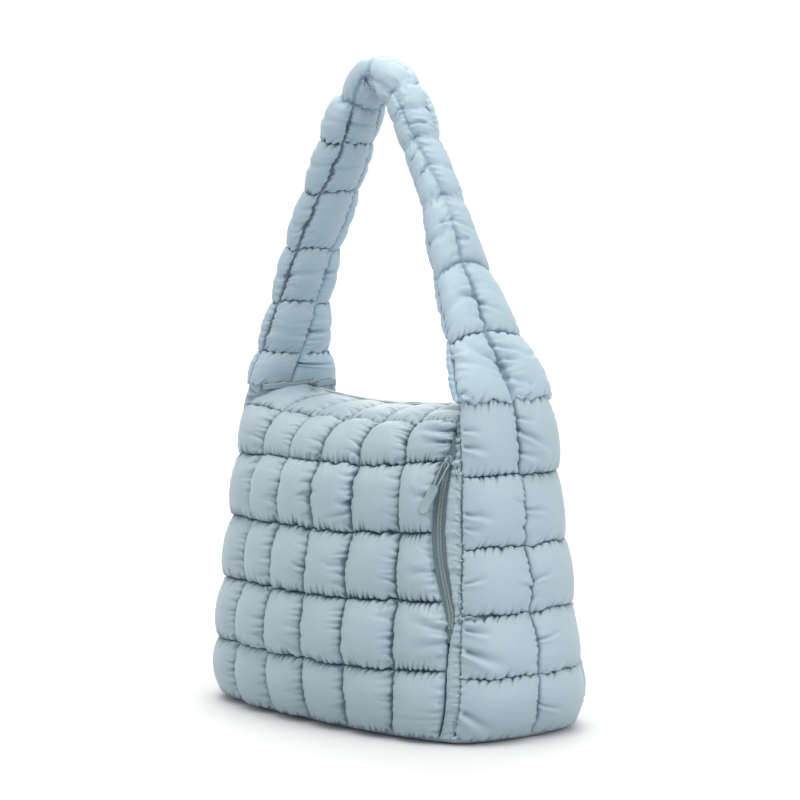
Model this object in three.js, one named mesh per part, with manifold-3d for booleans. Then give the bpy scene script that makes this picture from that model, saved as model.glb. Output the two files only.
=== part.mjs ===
// Quilted puffer shoulder bag: six-column front and back panels, two-column side panels that run on
// into one padded shoulder strap, a flat padded base, a zipped top and a zipped pocket in the front's
// right edge. Millimetres; X runs to the right, -Y is the front, Z is up from the floor.

import * as THREE from 'three';
import { mergeVertices } from 'three/addons/utils/BufferGeometryUtils.js';
import Module from 'manifold-3d';

const wasm = await Module();
wasm.setup();

// Padding
const SEAM = 2.4; // thickness of a padded panel along its quilting lines
const PUFF = 11.5; // height of a quilted cell above its quilting lines
const TOP_PUFF = 6; // the same in the row that leads to the top zipper
const SIDE_PUFF = 10; // the same in the side panels
const LINING_PUFF = 3; // swelling of a cell on the inside of the bag
const STRAP_PUFF = 8; // height of a strap cell above its quilting lines
const STRIP_PUFF = 3.5; // height of a gather in the narrow strip beside the pocket
const GAP = 0.4; // clearance between neighbouring pieces
const CELL_STEPS = 4; // facets along one side of a quilted cell

// Quilting
const COLUMNS = 6; // across the front and the back
const ROWS = 6; // from the base seam to the top zipper
const SIDE_COLUMNS = 2;
const SIDE_ROWS = 5;
const STRAP_ROWS = 12;
const STRIP_ROWS = 10;
const EDGE_IN = 0.015; // part of a column left free beside a corner seam

// Top zipper, base and strap base
const TOP_ROW = 5; // row line where the panels turn in towards the top zipper
const ZIP_HALF_LENGTH = 142;
const ZIP_HALF_OPENING = 5;
const COLUMN_CREEP = 0.05; // how much the middle columns widen as the panel bulges
const SIDE_TURN = 1.1; // radians that a side panel turns from its middle to a corner
const BASE_THICKNESS = 12;
const BASE_INSET = 3;
const STRAP_SEAM_MARGIN = 3.5; // degrees left free at each seam between the two parts
const STRAP_COLUMN_STEPS = 4;
const STRAP_CHORD_STEPS = 4;
const BASE_TAPE_WIDTH = 6;
const BASE_TAPE_THICKNESS = 1.2;
const BASE_TAPE_STAND = 6.6; // height over the strap's quilting lines
const BASE_TAPE_LIFT = 2.5; // clearance above the panels at the foot of the strap
const BASE_TAPE_REACH = 0.86; // share of the strap's half width that the base tape covers

// Zippers
const TAPE_THICKNESS = 1;
const CHAIN_WIDTH = 6.4;
const CHAIN_HEIGHT = 2;
const CHAIN_NOTCH = 0.9; // how far the coil draws in between two teeth
const CHAIN_PITCH = 9;
const SLIDER_LENGTH = 13;
const SLIDER_WIDTH = 9;
const SLIDER_NOSE = 6.4;
const SLIDER_HEIGHT = 4;
const CROWN_LENGTH = 8.4;
const CROWN_HEIGHT = 4.2;
const CROWN_THICKNESS = 1.6;
const CROWN_WALL = 1.3;
const LOOP_WIRE = 1.5;
const LOOP_HALF_WIDTH = 2.9; // at the slider
const LOOP_END_HALF_WIDTH = 2; // where it enters the tab
const LOOP_LEAD = 6.5; // straight stretch out of the crown
const TAB_WIDTH = 9;
const TAB_THICKNESS = 3.2;
const TAB_BEVEL = 0.7;
const POCKET_SLIDER_ROW = 3.98;
const POCKET_CHAIN_END = 0.05; // rows of bare tape below the coil
const POCKET_CHAIN_TOP_ROW = 3.86; // just below the slider
const POCKET_CHAIN_LENGTH = 140;
const POCKET_PULL = { length: 24, tab: 29, column: 5.42, row: 3.12, lift: 5.5, height: 6 };
const TOP_SLIDER_X = -128;
const TOP_CHAIN_END = 4; // bare tape past the coil
const TOP_PULL = { length: 14, tab: 20, across: 26, forward: 21, rise: 2, height: 7 };

// Corner seam between a front or back panel and a side panel, from the floor up
const CORNER = [
  { z: 6, halfWidth: 184, halfDepth: 80 },
  { z: 36, halfWidth: 186, halfDepth: 79 },
  { z: 68, halfWidth: 185, halfDepth: 77 },
  { z: 132, halfWidth: 180, halfDepth: 71 },
  { z: 196, halfWidth: 175, halfDepth: 66 },
  { z: 261, halfWidth: 169, halfDepth: 61 },
  { z: 306, halfWidth: 163, halfDepth: 58 },
  { z: 324, halfWidth: 160, halfDepth: 56 },
];

// Quilting lines of the front: height at both corners and in the middle, depth in the middle, and
// how square the line is in plan (2 is a plain bow)
const FRONT = [
  { row: 0, leftZ: 6, middleZ: 6, rightZ: 6, depth: 106, squareness: 3 },
  { row: 1, leftZ: 62, middleZ: 66, rightZ: 72, depth: 118, squareness: 2.6 },
  { row: 2, leftZ: 124, middleZ: 130, rightZ: 137, depth: 115, squareness: 2.2 },
  { row: 3, leftZ: 188, middleZ: 194, rightZ: 202, depth: 107, squareness: 2 },
  { row: 4, leftZ: 252, middleZ: 258, rightZ: 270, depth: 96, squareness: 2 },
  { row: 5, leftZ: 303, middleZ: 296, rightZ: 306, depth: 62, squareness: 2 },
  { row: 6, leftZ: 322, middleZ: 310, rightZ: 318, depth: 5, squareness: 2 },
];

// Quilting lines of a side panel
const SIDE = [
  { row: 0, z: 6, bulge: 22 },
  { row: 1, z: 64, bulge: 28 },
  { row: 2, z: 124, bulge: 23 },
  { row: 3, z: 186, bulge: 19 },
  { row: 4, z: 254, bulge: 16 },
  { row: 5, z: 324, bulge: 14 },
];

// Strap sections from the right base over the top to the left base. Twist is the angle in degrees of the
// outer part's middle seam: 90 is the face outside the loop, 0 the front edge, -90 the face inside it.
// Spread is the angle from that seam to the seams beside it, where the inner part begins.
const STRAP = [
  { row: 0, x: 161, z: 324, width: 118, thickness: 30, twist: 88, spread: 62 },
  { row: 1, x: 131, z: 384, width: 86, thickness: 29, twist: 80, spread: 62 },
  { row: 2, x: 97, z: 451, width: 60, thickness: 28, twist: 73, spread: 62 },
  { row: 3, x: 70, z: 517, width: 38, thickness: 28, twist: 60, spread: 62 },
  { row: 4, x: 42, z: 572, width: 32, thickness: 28, twist: 30, spread: 64 },
  { row: 5, x: 15, z: 620, width: 34, thickness: 28, twist: 8, spread: 68 },
  { row: 5.62, x: -24, z: 641, width: 38, thickness: 22, twist: -20, spread: 72 },
  { row: 6, x: -47, z: 614, width: 46, thickness: 27, twist: -38, spread: 76 },
  { row: 7, x: -71, z: 575, width: 56, thickness: 29, twist: -52, spread: 80 },
  { row: 8, x: -97, z: 525, width: 58, thickness: 29, twist: -46, spread: 86 },
  { row: 9, x: -127, z: 466, width: 60, thickness: 29, twist: -26, spread: 90 },
  { row: 10, x: -147, z: 409, width: 66, thickness: 29, twist: -11, spread: 92 },
  { row: 11, x: -160, z: 356, width: 87, thickness: 30, twist: 0, spread: 86 },
  { row: 12, x: -163, z: 324, width: 108, thickness: 30, twist: 4, spread: 80 },
];

// Right edge of the front panel, in columns: where the quilting ends, the middle of the pocket zipper
// and where the narrow strip beside the corner begins
const POCKET = [
  { row: 0, panel: 5.78, zip: 5.79, strip: 5.8 },
  { row: 0.7, panel: 5.79, zip: 5.8, strip: 5.81 },
  { row: 1.3, panel: 5.82, zip: 5.83, strip: 5.84 },
  { row: 1.75, panel: 5.8, zip: 5.86, strip: 5.92 },
  { row: 2.1, panel: 5.7, zip: 5.8, strip: 5.88 },
  { row: 2.6, panel: 5.58, zip: 5.69, strip: 5.8 },
  { row: 3.1, panel: 5.54, zip: 5.65, strip: 5.76 },
  { row: 3.5, panel: 5.58, zip: 5.69, strip: 5.8 },
  { row: 3.9, panel: 5.67, zip: 5.78, strip: 5.88 },
  { row: 4.3, panel: 5.83, zip: 5.88, strip: 5.93 },
  { row: 5, panel: 5.9, zip: 5.91, strip: 5.92 },
  { row: 6, panel: 5.98, zip: 5.99, strip: 6 },
];
const POCKET_BOTTOM_ROW = 1.78;
const POCKET_TOP_ROW = 4.27;
const POCKET_STEPS = 24;

// Reads one column of a table at any place between its rows, on a smooth curve through the rows
function read(table, key, column, at) {
  const last = table.length - 1;
  const place = THREE.MathUtils.clamp(at, table[0][key], table[last][key]);
  let i = 0;
  while (i < last - 1 && place > table[i + 1][key]) i += 1;
  const slope = (k) => {
    const before = table[Math.max(k - 1, 0)];
    const after = table[Math.min(k + 1, last)];
    return (after[column] - before[column]) / (after[key] - before[key]);
  };
  const span = table[i + 1][key] - table[i][key];
  const t = (place - table[i][key]) / span;
  const t2 = t * t;
  const t3 = t2 * t;
  return (
    (2 * t3 - 3 * t2 + 1) * table[i][column] +
    (t3 - 2 * t2 + t) * slope(i) * span +
    (3 * t2 - 2 * t3) * table[i + 1][column] +
    (t3 - t2) * slope(i + 1) * span
  );
}

// Swelling of a cell from one quilting line to the next, 0 on the lines and 1 in the middle
function dome(t) {
  const part = t - Math.floor(t);
  return Math.sqrt(4 * part * (1 - part));
}

// Point of the front panel's quilting surface, at a column and row
function frontPoint(column, row) {
  const across = (2 * column) / COLUMNS - 1;
  const line = (name) => read(FRONT, 'row', name, row);
  const bow = 1 - Math.abs(across) ** line('squareness');
  const endZ = across < 0 ? line('leftZ') : line('rightZ');
  const tuck = THREE.MathUtils.clamp(row - TOP_ROW, 0, 1);
  const halfWidth = THREE.MathUtils.lerp(read(CORNER, 'z', 'halfWidth', endZ), ZIP_HALF_LENGTH, tuck);
  const halfDepth = THREE.MathUtils.lerp(read(CORNER, 'z', 'halfDepth', endZ), ZIP_HALF_OPENING, tuck);
  return new THREE.Vector3(
    halfWidth * across * (1 - COLUMN_CREEP * bow),
    -THREE.MathUtils.lerp(halfDepth, line('depth'), bow),
    THREE.MathUtils.lerp(endZ, line('middleZ'), bow),
  );
}

// Point of the right side panel's quilting surface
function sidePoint(column, row) {
  const across = column - SIDE_COLUMNS / 2;
  const z = read(SIDE, 'row', 'z', row);
  return new THREE.Vector3(
    read(CORNER, 'z', 'halfWidth', z) + read(SIDE, 'row', 'bulge', row) * (1 - across * across),
    (read(CORNER, 'z', 'halfDepth', z) * Math.sin(SIDE_TURN * across)) / Math.sin(SIDE_TURN),
    z,
  );
}

// Outward normal of a surface, from its slopes in both directions
function surfaceNormal(surface, column, row) {
  const step = 0.01;
  const along = surface(column + step, row).sub(surface(column - step, row));
  const up = surface(column, row + step).sub(surface(column, row - step));
  return along.cross(up).normalize();
}

// Closed geometry from points and triangles, turned so that its faces point out
function solid(points, triangles) {
  let volume = 0;
  for (const [a, b, c] of triangles) {
    volume += points[a].dot(points[b].clone().cross(points[c]));
  }
  const faces = volume < 0 ? triangles.map(([a, b, c]) => [a, c, b]) : triangles;
  const geometry = new THREE.BufferGeometry().setFromPoints(points);
  geometry.setIndex(faces.flat());
  geometry.computeVertexNormals();
  return geometry;
}

// Quilted panel: an outer skin that swells in every cell, a flatter lining and the edges between them
function quiltedPanel(surface, columns, rows, puffAt, liningPuff, steps = CELL_STEPS) {
  const across = columns * steps;
  const high = rows * steps;
  const points = [];
  for (const [side, swellingAt] of [[1, puffAt], [-1, () => liningPuff]]) {
    for (let j = 0; j <= high; j += 1) {
      for (let i = 0; i <= across; i += 1) {
        const column = i / steps;
        const row = j / steps;
        const rise = SEAM / 2 + swellingAt(row) * dome(column) * dome(row);
        const normal = surfaceNormal(surface, column, row);
        points.push(surface(column, row).addScaledVector(normal, side * rise));
      }
    }
  }
  const lining = (across + 1) * (high + 1);
  const at = (i, j) => j * (across + 1) + i;
  const triangles = [];
  const quad = (a, b, c, d) => triangles.push([a, b, c], [a, c, d]);
  for (let j = 0; j < high; j += 1) {
    for (let i = 0; i < across; i += 1) {
      const corners = [at(i, j), at(i + 1, j), at(i + 1, j + 1), at(i, j + 1)];
      quad(...corners);
      quad(...corners.map((corner) => corner + lining).reverse());
    }
  }
  for (let i = 0; i < across; i += 1) {
    quad(at(i + 1, 0), at(i, 0), at(i, 0) + lining, at(i + 1, 0) + lining);
    quad(at(i, high), at(i + 1, high), at(i + 1, high) + lining, at(i, high) + lining);
  }
  for (let j = 0; j < high; j += 1) {
    quad(at(0, j), at(0, j + 1), at(0, j + 1) + lining, at(0, j) + lining);
    quad(at(across, j + 1), at(across, j), at(across, j) + lining, at(across, j + 1) + lining);
  }
  return solid(points, triangles);
}

// Solid through a row of closed rings with the same number of points, its two ends capped
function loft(rings) {
  const count = rings[0].length;
  const points = rings.flat();
  const triangles = [];
  for (let k = 0; k < rings.length - 1; k += 1) {
    for (let i = 0; i < count; i += 1) {
      const next = (i + 1) % count;
      const low = k * count;
      const high = low + count;
      triangles.push([low + i, low + next, high + next], [low + i, high + next, high + i]);
    }
  }
  for (const [ring, turned] of [[rings[0], true], [rings[rings.length - 1], false]]) {
    const start = turned ? 0 : (rings.length - 1) * count;
    const centre = points.length;
    points.push(ring.reduce((sum, point) => sum.add(point), new THREE.Vector3()).divideScalar(count));
    for (let i = 0; i < count; i += 1) {
      const next = (i + 1) % count;
      triangles.push(turned ? [centre, start + next, start + i] : [centre, start + i, start + next]);
    }
  }
  return solid(points, triangles);
}

// Front panel surface in its own cells: the last column ends at the pocket's edge
function frontCells(column, row) {
  const last = COLUMNS - 1;
  const edge = read(POCKET, 'row', 'panel', row);
  if (column < 1) return frontPoint(THREE.MathUtils.lerp(EDGE_IN, 1, column), row);
  if (column > last) return frontPoint(THREE.MathUtils.lerp(last, edge, column - last), row);
  return frontPoint(column, row);
}

// Back panel surface: the front's shape turned round, with whole columns
function backCells(column, row) {
  const point = frontPoint(THREE.MathUtils.lerp(COLUMNS - EDGE_IN, EDGE_IN, column / COLUMNS), row);
  return point.setY(-point.y);
}

const frontPuff = (row) => (row > TOP_ROW ? TOP_PUFF : PUFF);
const frontPanel = () => quiltedPanel(frontCells, COLUMNS, ROWS, frontPuff, LINING_PUFF);
const backPanel = () => quiltedPanel(backCells, COLUMNS, ROWS, frontPuff, LINING_PUFF);
const sidePanel = (side) => {
  const surface = (column, row) => {
    const point = sidePoint(side > 0 ? column : SIDE_COLUMNS - column, row);
    return point.setX(side * point.x);
  };
  return quiltedPanel(surface, SIDE_COLUMNS, SIDE_ROWS, () => SIDE_PUFF, LINING_PUFF);
};

// Narrow gathered strip between the pocket zipper and the right corner seam
function cornerStrip() {
  const surface = (column, row) => {
    const line = (row * TOP_ROW) / STRIP_ROWS;
    const edge = read(POCKET, 'row', 'strip', line);
    return frontPoint(THREE.MathUtils.lerp(edge, COLUMNS - EDGE_IN, column), line);
  };
  return quiltedPanel(surface, 1, STRIP_ROWS, () => STRIP_PUFF, 0, 2);
}

// Flat padded base, inside the seams of the four panels
function basePanel() {
  const outline = [];
  const steps = 10;
  for (let i = 0; i < steps * 2; i += 1) outline.push(frontPoint((COLUMNS * i) / (steps * 2), 0));
  for (let i = 0; i < steps; i += 1) outline.push(sidePoint((SIDE_COLUMNS * i) / steps, 0));
  const half = outline.length;
  for (let i = 0; i < half; i += 1) outline.push(new THREE.Vector3(-outline[i].x, -outline[i].y, 0));
  const inset = (value) => value - Math.sign(value) * BASE_INSET;
  const shape = new THREE.Shape(outline.map((point) => new THREE.Vector2(inset(point.x), inset(point.y))));
  return new THREE.ExtrudeGeometry(shape, { depth: BASE_THICKNESS, bevelEnabled: false });
}

// Middle of the strap at a row, with the directions along it and out of the loop. Next to the bag the
// sections turn level, so that the strap stands on the side panel's top edge.
function strapFrame(row) {
  const step = 0.01;
  const spot = (at) => new THREE.Vector3(read(STRAP, 'row', 'x', at), 0, read(STRAP, 'row', 'z', at));
  const along = spot(row + step).sub(spot(row - step)).normalize();
  const out = new THREE.Vector3(along.z, 0, -along.x);
  const fromBase = Math.min(row, STRAP_ROWS - row, 1);
  const level = new THREE.Vector3(row < STRAP_ROWS / 2 ? 1 : -1, 0, 0);
  out.lerp(level, 1 - fromBase).normalize();
  return { centre: spot(row), out };
}

// Point of a strap section: an angle of 90 degrees is the outer face, 270 the face inside the loop
function strapPoint(row, angle, puff) {
  const { centre, out } = strapFrame(row);
  const halfWidth = read(STRAP, 'row', 'width', row) / 2;
  const halfThickness = read(STRAP, 'row', 'thickness', row) / 2;
  const normal = new THREE.Vector2(Math.cos(angle) / halfWidth, Math.sin(angle) / halfThickness).normalize();
  const y = halfWidth * Math.cos(angle) + normal.x * puff;
  const rise = halfThickness * Math.sin(angle) + normal.y * puff;
  return centre.addScaledVector(out, rise).add(new THREE.Vector3(0, -y, 0));
}

// Rings of one strap piece at every step of every strap row
function strapRings(ringAt) {
  const rings = [];
  const lift = GAP / (STRAP[1].z - STRAP[0].z);
  for (let k = 0; k <= STRAP_ROWS * CELL_STEPS; k += 1) {
    const row = THREE.MathUtils.clamp(k / CELL_STEPS, lift, STRAP_ROWS - 2 * lift);
    rings.push(ringAt(row, dome(k / CELL_STEPS)));
  }
  return rings;
}

// Half of the strap: two quilted columns round one side of the section, closed by a flat chord. The
// outer half lies round the twisting middle seam, the inner half round the opposite one.
function strapHalf(middle, spreadAt) {
  const ringAt = (row, swell) => {
    const turn = read(STRAP, 'row', 'twist', row) + middle;
    const spread = spreadAt(read(STRAP, 'row', 'spread', row)) - STRAP_SEAM_MARGIN;
    const ring = [];
    for (let i = 0; i <= 2 * STRAP_COLUMN_STEPS; i += 1) {
      const column = i / STRAP_COLUMN_STEPS;
      const angle = THREE.MathUtils.degToRad(turn + spread * (column - 1));
      ring.push(strapPoint(row, angle, STRAP_PUFF * swell * dome(column)));
    }
    const start = ring[0];
    const end = ring[ring.length - 1];
    for (let i = 1; i < STRAP_CHORD_STEPS; i += 1) {
      ring.push(end.clone().lerp(start, i / STRAP_CHORD_STEPS));
    }
    return ring;
  };
  return loft(strapRings(ringAt));
}

const strapOuter = () => strapHalf(0, (spread) => spread);
const strapInner = () => strapHalf(180, (spread) => 180 - spread);

// Rectangular section, centred across, from a low to a high level along the normal
function tapeSection(centre, across, normal, halfWidth, low, high) {
  return [[-1, low], [1, low], [1, high], [-1, high]].map(([side, level]) =>
    centre.clone().addScaledVector(across, side * halfWidth).addScaledVector(normal, level),
  );
}

// Flat tape along the foot of the strap, lying on the face inside the loop
function strapBaseTape(side) {
  const steps = 14;
  const rings = [];
  const reach = Math.asin(BASE_TAPE_REACH);
  const rowHeight = STRAP[1].z - STRAP[0].z;
  const edges = [BASE_TAPE_LIFT, BASE_TAPE_LIFT + BASE_TAPE_WIDTH].map((height) => {
    const rows = height / rowHeight;
    return side > 0 ? rows : STRAP_ROWS - rows;
  });
  for (let k = 0; k <= steps; k += 1) {
    const angle = THREE.MathUtils.lerp(-reach, reach, k / steps) + 1.5 * Math.PI;
    const [low, high] = edges;
    rings.push([
      strapPoint(low, angle, BASE_TAPE_STAND),
      strapPoint(low, angle, BASE_TAPE_STAND + BASE_TAPE_THICKNESS),
      strapPoint(high, angle, BASE_TAPE_STAND + BASE_TAPE_THICKNESS),
      strapPoint(high, angle, BASE_TAPE_STAND),
    ]);
  }
  return loft(rings);
}

// Pocket zipper: a place on its middle line, with the directions across, along and out of the panel
function pocketFrame(row) {
  const column = read(POCKET, 'row', 'zip', row);
  const step = 0.02;
  const spot = (at) => frontPoint(read(POCKET, 'row', 'zip', at), at);
  const along = spot(row + step).sub(spot(row - step)).normalize();
  const normal = surfaceNormal(frontPoint, column, row);
  const across = along.clone().cross(normal).normalize();
  return { centre: spot(row), along, across, normal: across.clone().cross(along).normalize() };
}

// Top zipper: the same, at a place along X
function topFrame(x) {
  const spot = (at) => {
    const bow = 1 - (at / ZIP_HALF_LENGTH) ** 2;
    const line = FRONT[ROWS];
    const endZ = at < 0 ? line.leftZ : line.rightZ;
    return new THREE.Vector3(at, 0, THREE.MathUtils.lerp(endZ, line.middleZ, bow));
  };
  const along = spot(x + 1).sub(spot(x - 1)).normalize();
  const across = new THREE.Vector3(0, -1, 0);
  return { centre: spot(x), along, across, normal: across.clone().cross(along).normalize() };
}

// Tape of a zipper between two edges that change along its length
function pocketTape() {
  const rings = [];
  const margin = 0.014;
  for (let k = 0; k <= POCKET_STEPS; k += 1) {
    const row = THREE.MathUtils.lerp(POCKET_BOTTOM_ROW, POCKET_TOP_ROW, k / POCKET_STEPS);
    const left = read(POCKET, 'row', 'panel', row) + margin;
    const right = read(POCKET, 'row', 'strip', row) - margin;
    const normal = surfaceNormal(frontPoint, (left + right) / 2, row);
    const ring = [[left, -1], [right, -1], [right, 1], [left, 1]].map(([column, level]) =>
      frontPoint(column, row).addScaledVector(normal, (level * TAPE_THICKNESS) / 2),
    );
    rings.push(ring);
  }
  return loft(rings);
}

function topTape() {
  const rings = [];
  const steps = 16;
  for (let k = 0; k <= steps; k += 1) {
    const x = THREE.MathUtils.lerp(-ZIP_HALF_LENGTH + 1, ZIP_HALF_LENGTH - 1, k / steps);
    const { centre, across, normal } = topFrame(x);
    const half = TAPE_THICKNESS / 2;
    rings.push(tapeSection(centre, across, normal, ZIP_HALF_OPENING - 2 * GAP, -half, half));
  }
  return loft(rings);
}

// Coil of a zipper: one ribbed bar on the tape, wide at each tooth and drawn in between teeth
function zipChain(frameAt, from, to, length) {
  const rings = [];
  const low = TAPE_THICKNESS / 2 + GAP;
  const halves = Math.round((2 * length) / CHAIN_PITCH);
  for (let k = 0; k <= halves; k += 1) {
    const { centre, across, normal } = frameAt(THREE.MathUtils.lerp(from, to, k / halves));
    const draw = k % 2 ? CHAIN_NOTCH : 0;
    rings.push(tapeSection(centre, across, normal, CHAIN_WIDTH / 2 - draw, low, low + CHAIN_HEIGHT - draw));
  }
  return loft(rings);
}

// Manifold solid of a closed geometry, and back
function toManifold(geometry) {
  const bare = geometry.clone();
  bare.deleteAttribute('normal');
  bare.deleteAttribute('uv');
  const merged = mergeVertices(bare, 1e-4);
  return new wasm.Manifold(new wasm.Mesh({
    numProp: 3,
    vertProperties: new Float32Array(merged.attributes.position.array),
    triVerts: new Uint32Array(merged.index.array),
  }));
}

function fromManifold(body) {
  const mesh = body.getMesh();
  const geometry = new THREE.BufferGeometry();
  geometry.setAttribute('position', new THREE.BufferAttribute(mesh.vertProperties, 3));
  geometry.setIndex(new THREE.BufferAttribute(mesh.triVerts, 1));
  geometry.computeVertexNormals();
  return geometry;
}

// Zipper slider: a shield-shaped body with an arched crown. X is across the zipper, Y along it.
function sliderGeometry() {
  const back = SLIDER_LENGTH / 2;
  const plan = new THREE.Shape();
  plan.moveTo(-SLIDER_NOSE / 2, -back);
  plan.lineTo(SLIDER_NOSE / 2, -back);
  plan.lineTo(SLIDER_WIDTH / 2, back / 3);
  plan.quadraticCurveTo(SLIDER_WIDTH / 2, back, 0, back);
  plan.quadraticCurveTo(-SLIDER_WIDTH / 2, back, -SLIDER_WIDTH / 2, back / 3);
  plan.closePath();
  const plain = { bevelEnabled: false, curveSegments: 6 };
  const body = new THREE.ExtrudeGeometry(plan, { ...plain, depth: SLIDER_HEIGHT });
  const half = CROWN_LENGTH / 2;
  const overlap = 0.5;
  const arch = new THREE.Shape();
  arch.moveTo(-half, -overlap);
  arch.absellipse(0, 0, half, CROWN_HEIGHT, Math.PI, 0, true);
  arch.lineTo(half, -overlap);
  arch.lineTo(half - CROWN_WALL, -overlap);
  arch.absellipse(0, 0, half - CROWN_WALL, CROWN_HEIGHT - CROWN_WALL, 0, Math.PI, false);
  arch.lineTo(-half + CROWN_WALL, -overlap);
  arch.closePath();
  const crown = new THREE.ExtrudeGeometry(arch, { ...plain, depth: CROWN_THICKNESS });
  crown.translate(0, 0, -CROWN_THICKNESS / 2);
  crown.rotateX(Math.PI / 2);
  crown.rotateZ(Math.PI / 2);
  crown.translate(0, 0, SLIDER_HEIGHT);
  return fromManifold(toManifold(body).add(toManifold(crown)));
}

// Loop of the pull: a wire that goes from the tab through the slider's crown and back. It leaves the
// crown along the zipper and then turns towards the tab.
function pullLoop(start, lead, end, side, normal) {
  const rise = end.clone().sub(start).dot(normal);
  const elbow = start.clone().addScaledVector(lead, LOOP_LEAD).addScaledVector(normal, rise / 2);
  const along = end.clone().sub(elbow).normalize();
  const turned = side.clone().addScaledVector(along, -side.dot(along)).normalize();
  const strand = (sign) => [
    end.clone().addScaledVector(turned, sign * LOOP_END_HALF_WIDTH),
    elbow.clone().addScaledVector(turned, sign * LOOP_HALF_WIDTH),
    start.clone().addScaledVector(lead, LOOP_LEAD / 3).addScaledVector(side, sign * LOOP_HALF_WIDTH),
  ];
  const route = new THREE.CatmullRomCurve3([...strand(-1), start, ...strand(1).reverse()]);
  const section = new THREE.Shape().absarc(0, 0, LOOP_WIRE / 2, 0, 2 * Math.PI);
  return new THREE.ExtrudeGeometry(section, {
    steps: 18,
    extrudePath: route,
    curveSegments: 4,
    bevelEnabled: false,
  });
}

// Tab of the pull: a flat moulded bar with round ends, Y along it, its top end at Y = 0
function pullTab(length) {
  const half = TAB_WIDTH / 2 - TAB_BEVEL;
  const outline = new THREE.Shape();
  outline.absarc(0, -half - TAB_BEVEL, half, 0, Math.PI);
  outline.absarc(0, -length + half + TAB_BEVEL, half, Math.PI, 2 * Math.PI);
  outline.closePath();
  const tab = new THREE.ExtrudeGeometry(outline, {
    depth: TAB_THICKNESS - 2 * TAB_BEVEL,
    bevelThickness: TAB_BEVEL,
    bevelSize: TAB_BEVEL,
    bevelSegments: 1,
    curveSegments: 6,
  });
  return tab.translate(0, 0, TAB_BEVEL - TAB_THICKNESS / 2);
}

const NYLON = { color: 0xa9c1cf, roughness: 0.55, metalness: 0 };
const INNER_NYLON = { color: 0xa3c0d2, roughness: 0.55, metalness: 0 };
const ZIP_TAPE = { color: 0x9db3bb, roughness: 0.85, metalness: 0 };
const ZIP_COIL = { color: 0x8fa6ad, roughness: 0.45, metalness: 0 };
const ZIP_METAL = { color: 0x9fb4be, roughness: 0.4, metalness: 0.2 };
const RUBBER = { color: 0xa7bcc8, roughness: 0.6, metalness: 0 };

const bag = new THREE.Group();

function add(name, geometry, finish) {
  const mesh = new THREE.Mesh(geometry, new THREE.MeshStandardMaterial(finish));
  mesh.name = name;
  bag.add(mesh);
  return mesh;
}

// Sets a mesh at a place, its own X, Y and Z along three given directions
function setIn(mesh, centre, across, along, normal) {
  mesh.position.copy(centre);
  mesh.quaternion.setFromRotationMatrix(new THREE.Matrix4().makeBasis(across, along, normal));
}

add('front_panel', frontPanel(), NYLON);
add('back_panel', backPanel(), NYLON);
add('base_panel', basePanel(), NYLON);
add('side_panel_right', sidePanel(1), NYLON);
add('side_panel_left', sidePanel(-1), NYLON);
add('strap_outer', strapOuter(), NYLON);
add('strap_inner', strapInner(), INNER_NYLON);
add('strap_base_tape_right', strapBaseTape(1), ZIP_TAPE);
add('strap_base_tape_left', strapBaseTape(-1), ZIP_TAPE);
add('corner_strip', cornerStrip(), NYLON);

// Slider, loop and tab of one zipper: the pull lies along a straight line to where the tab begins
function addPull(prefix, frame, tabStart, tabDirection, tabNormal, tabLength) {
  const { centre, along, across, normal } = frame;
  const seat = centre.clone().addScaledVector(normal, TAPE_THICKNESS / 2 + GAP);
  setIn(add(`${prefix}_slider`, sliderGeometry(), ZIP_METAL), seat, across, along, normal);
  const crownHole = SLIDER_HEIGHT + (CROWN_HEIGHT - CROWN_WALL) / 2;
  const start = seat.clone().addScaledVector(normal, crownHole);
  add(`${prefix}_pull_loop`, pullLoop(start, along.clone().negate(), tabStart, across, normal), RUBBER);
  const up = tabDirection.clone().negate();
  const side = up.clone().cross(tabNormal).normalize();
  const face = side.clone().cross(up).normalize();
  const top = tabStart.clone().addScaledVector(tabDirection, 2 * GAP);
  setIn(add(`${prefix}_pull_tab`, pullTab(tabLength), RUBBER), top, side, up, face);
}

// Pocket zipper
add('pocket_zip_tape', pocketTape(), ZIP_TAPE);
add(
  'pocket_zip_chain',
  zipChain(pocketFrame, POCKET_BOTTOM_ROW + POCKET_CHAIN_END, POCKET_CHAIN_TOP_ROW, POCKET_CHAIN_LENGTH),
  ZIP_COIL,
);
const pocketSlider = pocketFrame(POCKET_SLIDER_ROW);
const pocketRest = frontPoint(POCKET_PULL.column, POCKET_PULL.row).addScaledVector(
  surfaceNormal(frontPoint, POCKET_PULL.column, POCKET_PULL.row),
  PUFF + POCKET_PULL.lift,
);
const pocketPullStart = pocketSlider.centre.clone().addScaledVector(pocketSlider.normal, POCKET_PULL.height);
const pocketDirection = pocketRest.clone().sub(pocketPullStart).normalize();
const pocketTabStart = pocketPullStart.clone()
  .addScaledVector(pocketDirection, POCKET_PULL.length);
addPull('pocket', pocketSlider, pocketTabStart, pocketDirection, pocketSlider.normal, POCKET_PULL.tab);

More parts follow.
